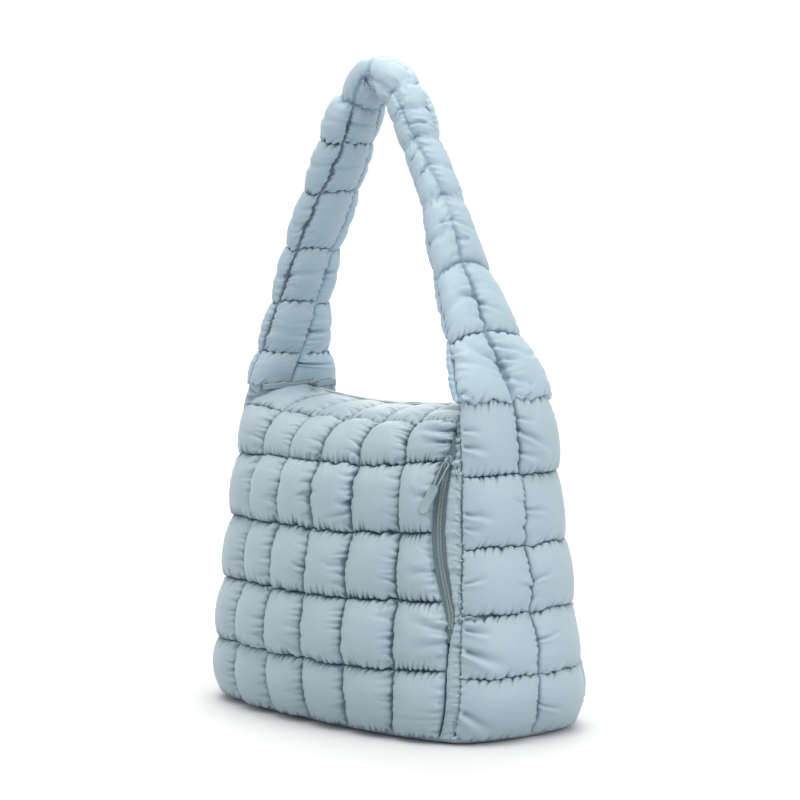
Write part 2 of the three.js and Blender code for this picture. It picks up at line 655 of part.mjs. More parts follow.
// Top zipper
add('top_zip_tape', topTape(), ZIP_TAPE);
const topChainStart = TOP_SLIDER_X + SLIDER_LENGTH / 2 + GAP;
const topChainEnd = ZIP_HALF_LENGTH - TOP_CHAIN_END;
add('top_zip_chain', zipChain(topFrame, topChainStart, topChainEnd, topChainEnd - topChainStart), ZIP_COIL);
const topSlider = topFrame(TOP_SLIDER_X);
topSlider.along.negate();
topSlider.across.negate();
const topDirection = new THREE.Vector3(TOP_PULL.across, -TOP_PULL.forward, TOP_PULL.rise).normalize();
const topTabStart = topSlider.centre.clone()
  .addScaledVector(topSlider.normal, TOP_PULL.height)
  .addScaledVector(topDirection, TOP_PULL.length);
const topTabNormal = new THREE.Vector3(0, -0.4, 1).normalize();
addPull('top', topSlider, topTabStart, topDirection, topTabNormal, TOP_PULL.tab);

export default bag;
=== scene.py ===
# %% [markdown]
# # A quilted puffer shoulder bag
# The bag is a soft box of pale blue nylon, quilted into pillows, with two side panels that run on into
# one padded strap. The solid model already fixes every place and size. This lesson dresses it: each
# flat cell becomes a stuffed pillow with gathers along its stitches, and the zippers get their teeth.
# All lengths in the tables below are in millimetres, as they are in the solid model.

# %% Load the frame
import math

import bmesh
import bpy
import numpy as np
from mathutils import Matrix, Vector


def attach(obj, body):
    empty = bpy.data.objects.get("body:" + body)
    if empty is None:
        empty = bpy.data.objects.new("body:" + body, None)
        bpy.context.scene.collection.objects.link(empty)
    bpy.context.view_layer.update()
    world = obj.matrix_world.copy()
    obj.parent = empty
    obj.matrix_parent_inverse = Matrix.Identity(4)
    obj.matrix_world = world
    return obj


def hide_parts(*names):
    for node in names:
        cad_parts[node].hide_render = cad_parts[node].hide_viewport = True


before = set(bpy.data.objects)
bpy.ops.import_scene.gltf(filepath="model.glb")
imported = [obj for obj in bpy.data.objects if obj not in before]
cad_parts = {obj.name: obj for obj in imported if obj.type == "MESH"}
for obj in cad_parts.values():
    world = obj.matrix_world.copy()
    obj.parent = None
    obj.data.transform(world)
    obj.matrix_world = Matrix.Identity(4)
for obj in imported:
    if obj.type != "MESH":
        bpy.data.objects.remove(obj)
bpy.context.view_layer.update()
scene = bpy.context.scene
scene.view_settings.view_transform = "Standard"
MM = 0.001
FLOOR_CLEAR = 0.4

# %% [markdown]
# ## Camera
# The photograph is taken from the right, a little above the bag, with a long lens that keeps the
# upright edges parallel. A camera needs only a place and two turns: 90 degrees about X brings it level,
# a few degrees less tips it down, and the turn about Z walks it round to the right.

# %% Camera
CAMERA_TURN, CAMERA_TILT = math.radians(49.0), math.radians(4.515)
CAMERA_AWAY, CAMERA_ASIDE, CAMERA_HEIGHT = 2.9, 0.006, 0.543
SENSOR, LENS = 36.0, 130.5

camera = bpy.data.objects.new("camera", bpy.data.cameras.new("camera"))
scene.collection.objects.link(camera)
scene.camera = camera
camera.data.sensor_width, camera.data.lens = SENSOR, LENS
camera.location = (
    math.sin(CAMERA_TURN) * CAMERA_AWAY + math.cos(CAMERA_TURN) * CAMERA_ASIDE,
    -math.cos(CAMERA_TURN) * CAMERA_AWAY + math.sin(CAMERA_TURN) * CAMERA_ASIDE,
    CAMERA_HEIGHT,
)
camera.rotation_euler = (math.pi / 2 - CAMERA_TILT, 0.0, CAMERA_TURN)
print("camera at", [round(value, 3) for value in camera.location])

# %% [markdown]
# ## Floor and light
# A product photograph of this kind stands on pale paper under large soft lamps. One big plane is the
# paper. An even world gives the fill, and shows as plain white behind the bag. Four sun lamps with very
# wide angles act as soft boxes: one overhead and a strong one high behind the left, so the tops and left
# slopes of the pillows catch the light, one on the right for the side, and a weak one for the front. A
# small disc lamp above the front brightens the top of the strap.

# %% Floor and light
PAPER_HALF, PAPER_COLOUR, PAPER_ROUGHNESS = 30.0, (0.55, 0.57, 0.595, 1), 0.9
LAMP_TINT, SKY_STRENGTH = (1.0, 0.965, 0.92), 0.93
SUNS = (
    ("overhead", 1.9, (0.05, -0.05, 1.0), 50), ("back_left", 1.6, (-0.6, 0.5, 0.6), 50),
    ("right", 1.15, (0.85, 0.1, 0.5), 40), ("front_left", 0.3, (-0.55, -0.55, 0.62), 40),
)
DISC_PLACE, DISC_AIM = Vector((0.12, -0.25, 0.98)), Vector((0.0, 0.0, 0.6))
DISC_POWER, DISC_SIZE = 0.7, 0.4


def plain_object(name, vertices, faces):
    """A new object at the origin, with a mesh of these vertices and faces."""
    mesh = bpy.data.meshes.new(name)
    mesh.from_pydata(vertices, [], faces)
    made = bpy.data.objects.new(name, mesh)
    scene.collection.objects.link(made)
    return made


def lamp(name, kind, strength, towards):
    """A tinted lamp that shines from the given direction."""
    made = bpy.data.objects.new(name, bpy.data.lights.new(name, kind))
    made.data.energy, made.data.color = strength, LAMP_TINT
    made.rotation_euler = Vector(towards).to_track_quat("Z", "Y").to_euler()
    scene.collection.objects.link(made)
    return made


paper_corners = [(x * PAPER_HALF, y * PAPER_HALF, 0) for x, y in ((-1, -1), (1, -1), (1, 1), (-1, 1))]
paper = plain_object("paper_floor", paper_corners, [(0, 1, 2, 3)])
paper_finish = bpy.data.materials.new("paper")
paper_finish.use_nodes = True
paper_shader = paper_finish.node_tree.nodes["Principled BSDF"]
paper_shader.inputs["Base Color"].default_value = PAPER_COLOUR
paper_shader.inputs["Roughness"].default_value = PAPER_ROUGHNESS
paper.data.materials.append(paper_finish)

world = bpy.data.worlds.new("studio")
scene.world = world
world.use_nodes = True
nodes, link = world.node_tree.nodes, world.node_tree.links.new
sky, behind = nodes["Background"], nodes.new("ShaderNodeBackground")
seen, either = nodes.new("ShaderNodeLightPath"), nodes.new("ShaderNodeMixShader")
sky.inputs["Color"].default_value = (*LAMP_TINT, 1)
sky.inputs["Strength"].default_value = SKY_STRENGTH
behind.inputs["Color"].default_value = (1, 1, 1, 1)
link(seen.outputs["Is Camera Ray"], either.inputs["Fac"])
link(sky.outputs["Background"], either.inputs[1])
link(behind.outputs["Background"], either.inputs[2])
link(either.outputs["Shader"], nodes["World Output"].inputs["Surface"])

for name, strength, towards, angle in SUNS:
    lamp(name, "SUN", strength, towards).data.angle = math.radians(angle)
disc = lamp("over_strap", "AREA", DISC_POWER, DISC_PLACE - DISC_AIM)
disc.data.shape, disc.data.size = "DISK", DISC_SIZE
disc.location = DISC_PLACE

# %% [markdown]
# ## The sewing pattern
# The same few tables that shape the solid model shape the cloth. Each table has named columns, and
# `read` walks a smooth curve through its rows, so a whole panel follows from a handful of numbers.
# numpy lets one call read thousands of places at once.

# %% Tables
def table(names, *rows):
    return {name: np.array(column, float) for name, column in zip(names.split(), zip(*rows))}


def read(chart, key, name, at):
    """The named column where the key column has the value at, on a smooth curve through the rows."""
    keys, values = chart[key], chart[name]
    last = len(keys) - 1
    at = np.clip(np.asarray(at, float), keys[0], keys[-1])
    i = np.clip(np.searchsorted(keys, at, side="left") - 1, 0, last - 1)
    before = np.maximum(np.arange(last + 1) - 1, 0)
    after = np.minimum(np.arange(last + 1) + 1, last)
    slope = (values[after] - values[before]) / (keys[after] - keys[before])
    span = keys[i + 1] - keys[i]
    t = (at - keys[i]) / span
    return (
        (2 * t**3 - 3 * t**2 + 1) * values[i]
        + (t**3 - 2 * t**2 + t) * slope[i] * span
        + (3 * t**2 - 2 * t**3) * values[i + 1]
        + (t**3 - t**2) * slope[i + 1] * span
    )


CORNER = table(
    "z half_width half_depth",
    (6, 178, 80), (36, 186, 79), (68, 185, 77), (132, 180, 71),
    (196, 175, 66), (261, 169, 61), (306, 163, 58), (324, 160, 56),
)
FRONT = table(
    "row left_z middle_z right_z depth squareness",
    (0, 6, 6, 6, 106, 3), (1, 62, 66, 72, 118, 2.6), (2, 124, 130, 137, 115, 2.2),
    (3, 188, 194, 202, 107, 2), (4, 252, 258, 270, 96, 2), (5, 303, 296, 306, 62, 2),
    (6, 322, 310, 318, 5, 2),
)
SIDE = table(
    "row z bulge",
    (0, 6, 22), (1, 64, 28), (2, 124, 23), (3, 186, 19), (4, 254, 16), (5, 324, 14),
)
STRAP = table(
    "row x z width thickness twist spread",
    (-0.4, 162, 300, 114, 28, 88, 82), (0, 161, 324, 118, 30, 88, 82), (1, 131, 384, 86, 29, 80, 80),
    (2, 97, 451, 60, 28, 73, 82), (3, 70, 517, 38, 28, 60, 84), (4, 42, 572, 32, 28, 30, 88),
    (5, 15, 620, 34, 28, 8, 90), (5.62, -24, 641, 38, 22, -20, 88), (6, -47, 614, 46, 27, -38, 86),
    (7, -71, 575, 56, 29, -52, 84), (8, -97, 525, 58, 29, -46, 86), (9, -127, 466, 60, 29, -26, 90),
    (10, -147, 409, 66, 29, -11, 92), (11, -160, 356, 87, 30, 0, 86), (12, -163, 324, 108, 30, 4, 80),
    (12.4, -164, 300, 106, 28, 4, 80),
)
POCKET = table(
    "row panel zip strip",
    (0, 5.78, 5.79, 5.8), (0.7, 5.79, 5.8, 5.81), (1.3, 5.82, 5.83, 5.84), (1.75, 5.8, 5.86, 5.92),
    (2.1, 5.7, 5.8, 5.88), (2.6, 5.58, 5.69, 5.8), (3.1, 5.54, 5.65, 5.76), (3.5, 5.58, 5.69, 5.8),
    (3.9, 5.67, 5.78, 5.88), (4.3, 5.83, 5.88, 5.93), (5, 5.9, 5.91, 5.92), (6, 5.98, 5.99, 6),
)
SEAM = 2.4
COLUMNS, ROWS, TOP_ROW = 6, 6, 5
SIDE_COLUMNS, SIDE_ROWS = 2, 5
STRAP_COLUMNS, STRAP_ROWS = 2, 12
STRIP_ROWS = 10
ZIP_HALF_LENGTH, ZIP_HALF_OPENING = 142, 5
print("front corner heights:", [round(float(read(FRONT, "row", "right_z", row)), 1) for row in range(7)])

# %% [markdown]
# ## The quilting surfaces
# A quilted panel is a plain curved surface with pillows on it. These functions give that surface at any
# column and row: whole numbers are the stitched lines, and everything between them is stuffing. The
# back is the front turned round. The corner seams and the feet of the strap wave a little, because the
# cloth on both sides of them is gathered.

# %% Surfaces of the body
CORNER_WAVES = ((1.1, 0.85, 0), (0.9, 1.31, 1))
FOOT_WAVES = ((2.0, 0.2, 0.5), (1.4, 0.46, 1))
FOOT_FADE = 0.4
EDGE_SHARE, EDGE_POWER = 0.04, 24
BOW_PULL = 0.05
SIDE_TURN = 1.1
STEP = 0.01


def stack(x, y, z):
    return np.stack(np.broadcast_arrays(x, y, z), -1)


def mix(a, b, t):
    return a + (b - a) * t


def unit(vectors):
    return vectors / np.maximum(np.linalg.norm(vectors, axis=-1, keepdims=True), 1e-9)


def waves(at, parts):
    """A sum of sine waves, each with its height in mm, its rate and its start."""
    return sum(height * np.sin(rate * at + start) for height, rate, start in parts)


def facing(surface, column, row):
    """The way out of a surface, square to its columns and rows."""
    right = surface(column + STEP, row) - surface(column - STEP, row)
    above = surface(column, row + STEP) - surface(column, row - STEP)
    return unit(np.cross(right, above))


def front_point(column, row):
    column, row = np.broadcast_arrays(np.asarray(column, float), np.asarray(row, float))
    across = 2 * column / COLUMNS - 1
    depth, middle_z, left_z, right_z, squareness = (
        read(FRONT, "row", name, row) for name in ("depth", "middle_z", "left_z", "right_z", "squareness")
    )
    bow = 1 - np.abs(across) ** squareness
    end_z = np.where(across < 0, left_z, right_z)
    tuck = np.clip(row - TOP_ROW, 0, 1)
    half_width = mix(read(CORNER, "z", "half_width", end_z), ZIP_HALF_LENGTH, tuck)
    half_depth = mix(read(CORNER, "z", "half_depth", end_z), ZIP_HALF_OPENING, tuck)
    at_edge = np.clip((np.abs(across) - 1) / EDGE_SHARE + 1, 0, 1)
    half_depth = half_depth + waves(end_z, CORNER_WAVES) * at_edge * (1 - tuck)
    return stack(
        half_width * across * (1 - BOW_PULL * bow), -mix(half_depth, depth, bow), mix(end_z, middle_z, bow)
    )


def front_cells(column, row):
    last = COLUMNS - 1
    edge = read(POCKET, "row", "panel", row)
    return front_point(np.where(column > last, mix(last, edge, column - last), column), row)


def back_cells(column, row):
    return front_point(mix(COLUMNS, 0, column / COLUMNS), row) * [1, -1, 1]


def strip_cells(column, row):
    line = row * TOP_ROW / STRIP_ROWS
    return front_point(mix(read(POCKET, "row", "strip", line), COLUMNS, column), line)


def side_point(column, row):
    across = column - SIDE_COLUMNS / 2
    z = read(SIDE, "row", "z", row)
    half_depth = read(CORNER, "z", "half_depth", z) + waves(z, CORNER_WAVES) * across**EDGE_POWER
    y = half_depth * np.sin(SIDE_TURN * across) / math.sin(SIDE_TURN)
    x = read(CORNER, "z", "half_width", z) + read(SIDE, "row", "bulge", row) * (1 - across**2)
    near_foot = np.clip((row - SIDE_ROWS + FOOT_FADE) / FOOT_FADE, 0, 1)
    return stack(x, y, z + waves(y, FOOT_WAVES) * near_foot)


def left_side_point(column, row):
    return side_point(SIDE_COLUMNS - column, row) * [-1, 1, 1]


print("front middle:", front_point(3, 3).round(1), "side middle:", side_point(1, 2).round(1))

# %% [markdown]
# ## The strap's surface
# The strap is a flattened tube along a curve. Its stitched middle line twists from the outside of the
# loop to the inside as the strap folds over at the top. Its cross seams arch at the middle line on the
# right leg, and on the left leg the two columns miss each other by a little.

# %% Surface of the strap
LEFT_FOOT_WAVE = 0.3
ARCH, ARCH_POWER, ARCH_ROWS = 0.2, 1.2, (0.4, 5.3)
MISS, MISS_WIDTH, MISS_ROWS = 0.07, 0.15, (6, 11.6)


def strap_point(row, angle, puff=0.0):
    """A place on the strap: how far along it, the angle round it, and how far out of it."""
    row, angle = np.broadcast_arrays(np.asarray(row, float), np.asarray(angle, float))
    x, z, width, thickness = (read(STRAP, "row", name, row) for name in ("x", "z", "width", "thickness"))
    along_x, along_z = (
        read(STRAP, "row", name, row + STEP) - read(STRAP, "row", name, row - STEP) for name in "xz"
    )
    length = np.hypot(along_x, along_z)
    from_base = np.clip(np.minimum(row, STRAP_ROWS - row), 0, 1)
    level = np.where(row < STRAP_ROWS / 2, 1.0, -1.0)
    out_x, out_z = mix(level, along_z / length, from_base), -along_x / length * from_base
    length = np.hypot(out_x, out_z)
    out_x, out_z = out_x / length, out_z / length
    half_width, half_thickness = width / 2, thickness / 2
    normal_y, normal_out = np.cos(angle) / half_width, np.sin(angle) / half_thickness
    size = np.hypot(normal_y, normal_out)
    y = half_width * np.cos(angle) + normal_y / size * puff
    rise = half_thickness * np.sin(angle) + normal_out / size * puff
    right_foot, left_foot = (np.clip(1 - np.abs(row - end) / FOOT_FADE, 0, 1) for end in (0, STRAP_ROWS))
    wave = waves(-y, FOOT_WAVES) * (right_foot + LEFT_FOOT_WAVE * left_foot)
    return stack(x + out_x * rise, -y, z + out_z * rise + wave)


def between(row, ends):
    """1 between two rows, fading to 0 in the first and the last row of them."""
    return np.clip(row - ends[0], 0, 1) * np.clip(ends[1] - row, 0, 1)


def strap_outer_cells(column, row):
    side = column - 1
    arch = -ARCH * np.abs(side) ** ARCH_POWER * between(row, ARCH_ROWS)
    row = row + arch + MISS * np.tanh(side / MISS_WIDTH) * between(row, MISS_ROWS)
    turn = read(STRAP, "row", "twist", row) + read(STRAP, "row", "spread", row) * side
    return strap_point(row, np.radians(turn))


def strap_inner_cells(column, row):
    spread = 180 - read(STRAP, "row", "spread", row)
    turn = read(STRAP, "row", "twist", row) + 180 + spread * (column - 1)
    return strap_point(row, np.radians(turn))


print("strap top:", strap_point(6, 0.5 * math.pi).round(1))

# %% [markdown]
# ## Pillows
# A stuffed cell rises steeply from its stitches and is nearly flat on top, and a power curve gives that
# section. The hand that sewed the cells wandered, so a rolling field of smooth noise shifts the lines.
# The mesh of a panel is a grid of points, so all the helpers work on grids. `finer` doubles a grid on
# smooth curves that keep their crease at the stitches.

# %% Helpers for pillows
PILLOW_FLATNESS, PILLOW_STEEPNESS = 2.4, 0.46


def pillow(t, lean):
    t = t - np.floor(t)
    t = t + lean * t * (1 - t)
    return np.clip(1 - np.abs(2 * t - 1) ** PILLOW_FLATNESS, 0, 1) ** PILLOW_STEEPNESS


def grid(a, b):
    return np.meshgrid(a, b, indexing="ij")


def normals_of(points):
    return unit(np.cross(np.gradient(points, axis=0), np.gradient(points, axis=1)))


def smooth_noise(shape, cells, random):
    """A gently rolling field, from coarse random values and smooth curves between them."""
    coarse = random.normal(size=(cells[0] + 1, cells[1] + 1))
    for axis, count in enumerate(shape):
        at = np.linspace(0, coarse.shape[axis] - 1, count)
        low = np.clip(at.astype(int), 0, coarse.shape[axis] - 2)
        t = at - low
        t = (t * t * (3 - 2 * t)).reshape([-1, 1] if axis == 0 else [1, -1])
        coarse = mix(np.take(coarse, low, axis), np.take(coarse, low + 1, axis), t)
    return coarse


def finer(points, on_lines):
    """Twice as many points each way, on smooth curves that keep their crease at the stitched lines."""
    for axis in (0, 1):
        g = np.moveaxis(points, axis, 0)
        line = on_lines[axis]
        before = np.concatenate([2 * g[:1] - g[1:2], g[:-2]])
        after = np.concatenate([g[2:], 2 * g[-1:] - g[-2:-1]])
        before = np.where(line[:-1, None, None], 2 * g[:-1] - g[1:], before)
        after = np.where(line[1:, None, None], 2 * g[1:] - g[:-1], after)
        out = np.empty((2 * len(g) - 1,) + g.shape[1:])
        out[0::2] = g
        out[1::2] = (9 * (g[:-1] + g[1:]) - before - after) / 16
        points = np.moveaxis(out, 0, axis)
    return points


print("pillow height at a twentieth of a cell:", round(float(pillow(0.05, 0.0)), 3))

# %% [markdown]
# ## Gathers and creases
# The stitches hold the cloth shorter than the filling wants, so it gathers into small folds that run
# away from each seam. Each fold is a shallow valley with its own place, depth, reach and slant, drawn at
# random from a fixed seed. Between the folds the walls of two pillows crowd together and close over the
# stitches, and each fold opens the seam by a notch. The long soft creases that show in the photograph
# come from short tables: from which column and row, to which, how deep and how wide.

# %% Helpers for gathers and creases
FOLD_STRENGTH, FOLD_REACH, FOLD_WIDTH, FOLD_SLANT = (0.3, 1.0), (0.5, 1.25), (1.2, 2.1), (-0.25, 0.25)
LONG_REACH, LONG_WIDTH, ROW_SLANT = (1.5, 2.2), 1.3, 0.4
FOLD_START, FOLD_FADE, CELL_REACH, CORNER_ROOM = 2.5, 1.6, 0.8, 6
NOTCH_SIZE, NOTCH_SHARE, NOTCH_WIDTH, NOTCH_MOST = (0.4, 1.3), (0.4, 1.0), 0.8, 1.5
SLACK_STRENGTH, SLACK_SLANT, SLACK_PLACE, SLACK_WIDTH = (0.3, 1), (0, 0.12), (0.5, 0.06), 4.0
CREASE_TIP, CREASE_FADE, CREASE_RIDGE, RIDGE_AWAY = 0.08, 0.8, 0.5, 1.8
CROWD_REACH = 7.0


def bell(x):
    return np.exp(-(x**2))


def gathers(a, b, cell, random, spacing, depth, reach, long_share, far_side):
    """Depth in mm of the small folds beside every stitched line, and how far each one opens its seam."""
    field = np.zeros((len(a), len(b)))
    open_seam = np.zeros((2, len(a), len(b)))
    for axis, (lines, runs) in enumerate(((a, b), (b, a))):
        into_cell = runs - np.floor(runs)
        room = np.clip(np.minimum(into_cell, 1 - into_cell) * cell[1 - axis] / CORNER_ROOM, 0, 1)
        runs = runs * cell[1 - axis]
        for line in range(int(round(lines[-1])) + 1):
            for side in (-1, 1):
                away = side * (lines - line) * cell[axis]
                near = np.flatnonzero((away > -1e-6) & (away < CELL_REACH * cell[axis]))
                if len(near) < 2:
                    continue
                d = np.maximum(away[near], 0)[:, None]
                calm = far_side if axis == 0 and side > 0 else 1.0
                spot = random.uniform(2, spacing[1])
                while spot < runs[-1]:
                    strength = calm * depth[axis] * random.uniform(*FOLD_STRENGTH)
                    far = reach[axis] * random.uniform(*FOLD_REACH)
                    width = random.uniform(*FOLD_WIDTH)
                    if random.uniform() < long_share[axis]:
                        far, width = far * random.uniform(*LONG_REACH), width * LONG_WIDTH
                    slant = random.uniform(*FOLD_SLANT) + ROW_SLANT * axis * side
                    beside = np.flatnonzero(np.abs(runs - spot) < 3 * width + 0.25 * far)
                    s = runs[beside] - spot - slant * d
                    fold = bell(s / (width * (0.7 + 0.6 * np.exp(-d / far))))
                    fold = fold * np.exp(-((d / far) ** FOLD_FADE)) * np.clip(d / FOLD_START, 0, 1)
                    notch = random.uniform(*NOTCH_SIZE) * bell(s / (NOTCH_WIDTH * width))
                    where = np.ix_(near, beside) if axis == 0 else np.ix_(beside, near)
                    for whole, patch in (
                        (field, -strength * fold), (open_seam[axis], calm * NOTCH_SHARE[axis] * notch)
                    ):
                        patch = patch * room[beside]
                        whole[where] += patch if axis == 0 else patch.T
                    spot += random.uniform(*spacing)
    return field, np.clip(open_seam, 0, NOTCH_MOST)


def slack_folds(a, b, cell, random, depth):
    """One slack fold across the middle of every cell, where the filling has bent."""
    in_a = np.clip(a.astype(int), 0, int(a[-1]) - 1)
    in_b = np.clip(np.floor(b + 1e-9).astype(int), 0, None)
    shape = (in_a.max() + 1, in_b.max() + 1)
    strength = random.uniform(*SLACK_STRENGTH, shape)
    slant, place = random.normal(*SLACK_SLANT, shape), random.normal(*SLACK_PLACE, shape)
    pick = np.ix_(in_a, in_b)
    from_middle = (a - in_a - 0.5)[:, None]
    away = ((b - in_b)[None, :] - place[pick] - slant[pick] * from_middle) * cell[1]
    fade = np.clip(0.65 + 0.7 * np.sign(slant)[pick] * from_middle, 0, 1)
    return -depth * strength[pick] * fade * bell(away / SLACK_WIDTH)


def creases(lines, cell):
    """A bending function for long soft folds: each line runs from one column and row to another."""
    def bend(column, row):
        field = np.zeros(column.shape)
        for c0, r0, c1, r1, deep, wide in lines:
            run = np.array([(c1 - c0) * cell[0], (r1 - r0) * cell[1]])
            x, y = (column - c0) * cell[0], (row - r0) * cell[1]
            t = (x * run[0] + y * run[1]) / (run @ run)
            along = np.where(t < 0, bell(t / CREASE_TIP), np.clip(1 - t, 0, 1) ** CREASE_FADE)
            off = (x * run[1] - y * run[0]) / np.linalg.norm(run)
            off = off / (wide * (0.6 + 0.8 * np.clip(t, 0, 1)))
            field -= deep * along * (bell(off) - CREASE_RIDGE * bell(off - RIDGE_AWAY))
        return field
    return bend


def crowd_seams(points, base, a, b, cell, share, end_share, open_seam):
    """Draws the walls of every pillow in over its stitched lines, but not where a fold holds them back.
    Only the first and the last cross seam take the end share."""
    for axis, place in enumerate((a, b)):
        away = (place - np.round(place)) * cell[axis]
        at_end = np.isin(np.round(place), (0, np.round(place[-1])))
        draw = away * bell(away / CROWD_REACH) * np.where(at_end & (axis == 1), end_share, 1.0)
        tangent = unit(np.gradient(base, axis=axis))
        amount = share[axis] * (1 - open_seam[axis]) * (draw[:, None] if axis == 0 else draw[None, :])
        points = points - tangent * amount[..., None]
    return points


print("a fold reaches", FOLD_REACH, "of its panel's own reach")

# %% [markdown]
# ## Hollows and painted seam shade
# In a deep seam the light meets the blue cloth several times, so it comes out darker and bluer. Here that
# shade is painted into the colour of the nylon. A point that lies below the mean of its neighbours is in
# such a hollow. The depth below a near and a wide neighbourhood goes into a vertex attribute, the
# painted seam shade, which the finish of the nylon reads later.

# %% Helpers for hollows
NEAR_REACH, NEAR_MOST, NEAR_WEIGHT = 3, 2, 0.28
WIDE_REACH, WIDE_MOST, WIDE_WEIGHT = 12, 4, 0.08


def blurred(points, reach):
    """The grid with every point replaced by the mean of its neighbours."""
    for axis in (0, 1):
        wide = np.pad(points, [(reach, reach) if k == axis else (0, 0) for k in range(3)], mode="edge")
        count = points.shape[axis]
        shifts = [np.take(wide, np.arange(k, k + count), axis) for k in range(2 * reach + 1)]
        points = np.mean(shifts, axis=0)
    return points


def hollows(points, out):
    """How far each point lies below its neighbours, from 0 on top of a pillow to 1 deep in a seam: the mask
    of painted seam shade.
    """
    near, wide = (((blurred(points, reach) - points) * out).sum(-1) for reach in (NEAR_REACH, WIDE_REACH))
    depth = NEAR_WEIGHT * np.clip(near, 0, NEAR_MOST) + WIDE_WEIGHT * np.clip(wide, 0, WIDE_MOST)
    return np.clip(depth, 0, 1)


print("hollows are measured over", 2 * NEAR_REACH + 1, "and", 2 * WIDE_REACH + 1, "points")

# %% [markdown]
# ## Letting air in
# Blender's Cloth modifier can push a sheet outwards with pressure, which is how real stuffing settles.
# The stitched points are given full weight in a vertex group, which pins them. Gravity is off, because
# the filling carries the cloth. Only the settled points are kept: the simulated object is thrown away
# and the finished panel is built from them.

# %% Cloth simulation
CLOTH_FRAMES = 22
CLOTH_SETTINGS = dict(
    quality=5, mass=0.2, tension_stiffness=20, compression_stiffness=20, shear_stiffness=5,
    bending_stiffness=0.05, tension_damping=20, compression_damping=20, shear_damping=20, bending_damping=0.5,
    air_damping=5, use_pressure=True, uniform_pressure_force=4.0,
)


def quads_of(g):
    """The faces between the points of a grid of vertex numbers."""
    return np.stack([g[:-1, :-1], g[1:, :-1], g[1:, 1:], g[:-1, 1:]], -1).reshape(-1, 4)


def inflate(points, stitched):
    numbers = np.arange(stitched.size).reshape(stitched.shape)
    sheet = plain_object("cloth_in_work", (points.reshape(-1, 3) * MM).tolist(), quads_of(numbers).tolist())
    pins = sheet.vertex_groups.new(name="stitched")
    pins.add(np.flatnonzero(stitched.ravel()).tolist(), 1.0, "REPLACE")
    cloth = sheet.modifiers.new("air", "CLOTH")
    cloth.settings.vertex_group_mass = "stitched"
    for label, value in CLOTH_SETTINGS.items():
        setattr(cloth.settings, label, value)
    cloth.settings.effector_weights.gravity = 0
    cloth.collision_settings.use_collision = False
    cloth.collision_settings.use_self_collision = False
    cloth.point_cache.frame_start, cloth.point_cache.frame_end = 1, CLOTH_FRAMES
    for step in range(1, CLOTH_FRAMES + 1):
        scene.frame_set(step)
    settled = sheet.evaluated_get(bpy.context.evaluated_depsgraph_get()).to_mesh()
    flat = np.empty(points.size)
    settled.vertices.foreach_get("co", flat)
    scene.frame_set(1)
    mesh = sheet.data
    bpy.data.objects.remove(sheet)
    bpy.data.meshes.remove(mesh)
    return flat.reshape(points.shape) / MM


print("cloth settles in", CLOTH_FRAMES, "frames")

# %% [markdown]
# ## Closing a panel
# A padded panel has an outer skin, a lining and edges between them. The lining is hardly seen, so it is
# eight times coarser than the skin. The edge is a row of small fans that join the many points of the
# skin to the few of the lining, so the finished mesh is closed all round. The UV map holds the pattern
# in metres, and the weave of the nylon follows it.

# %% Closed meshes
LINING_STRIDE = 8


def smooth_shaded(made):
    made.data.polygons.foreach_set("use_smooth", np.ones(len(made.data.polygons), bool))
    return made


def closed_mesh(name, outside, lining, pattern, painted_seam_shade=None):
    top = np.arange(outside[..., 0].size).reshape(outside.shape[:2])
    low = top.size + np.arange(lining[..., 0].size).reshape(lining.shape[:2])
    faces = quads_of(top).tolist() + quads_of(low)[:, ::-1].tolist()
    for edge, lower in (
        (top[:, 0], low[:, 0]), (top[-1], low[-1]),
        (top[::-1, -1], low[::-1, -1]), (top[0, ::-1], low[0, ::-1]),
    ):
        ratio = (len(edge) - 1) // (len(lower) - 1)
        half = ratio // 2
        for j in range(len(lower) - 1):
            fan = edge[j * ratio : (j + 1) * ratio + 1].tolist()
            for k in range(ratio):
                faces.append([fan[k + 1], fan[k], int(lower[j] if k < half else lower[j + 1])])
            faces.append([fan[half], int(lower[j]), int(lower[j + 1])])
    points = np.concatenate([outside.reshape(-1, 3), lining.reshape(-1, 3)]) * MM
    made = smooth_shaded(plain_object(name, points.tolist(), faces))
    mesh = made.data

    def laid_flat(numbers):
        lines = (np.linspace(0, size, count) for size, count in zip(pattern, numbers.shape))
        return np.stack(grid(*lines), -1).reshape(-1, 2) * MM

    place = np.concatenate([laid_flat(top), laid_flat(low)])
    corners = np.empty(len(mesh.loops), int)
    mesh.loops.foreach_get("vertex_index", corners)
    mesh.uv_layers.new(name="pattern").data.foreach_set("uv", place[corners].ravel())
    # The painted seam shade of the skin goes into a vertex attribute; the lining gets none.
    if painted_seam_shade is not None:
        deep = np.concatenate([painted_seam_shade.ravel(), np.zeros(low.size)]).astype(np.float32)
        mesh.attributes.new("painted_seam_shade", "FLOAT", "POINT").data.foreach_set("value", deep)
    return made


print("lining stride:", LINING_STRIDE)

# %% [markdown]
# ## One quilted panel
# This is the whole recipe in order: wander the stitched lines a little, puff the cells, inflate, double
# the points on smooth curves, crowd the walls over the seams, and sink the gathers and creases. Each
# cell gets its own height and lean, with the belly a little below the middle, because stuffing sinks.
# `pinch` slackens seams where the real ones hardly pull, and `dent` leaves a soft dip there instead.

# %% Quilted panel
HEIGHT_SPREAD, LEAN_SPREAD = 0.06, 0.12
DENT_WIDTH, ROW_REACH, RUN_ON_DROP = 0.1, 0.25, 4
SLACK_FROM = 0.35
# Near the column seams the painted seam shade is eased by this share, within this reach in mm.
COLUMN_SHADE_EASE, COLUMN_REACH = 0.2, 6


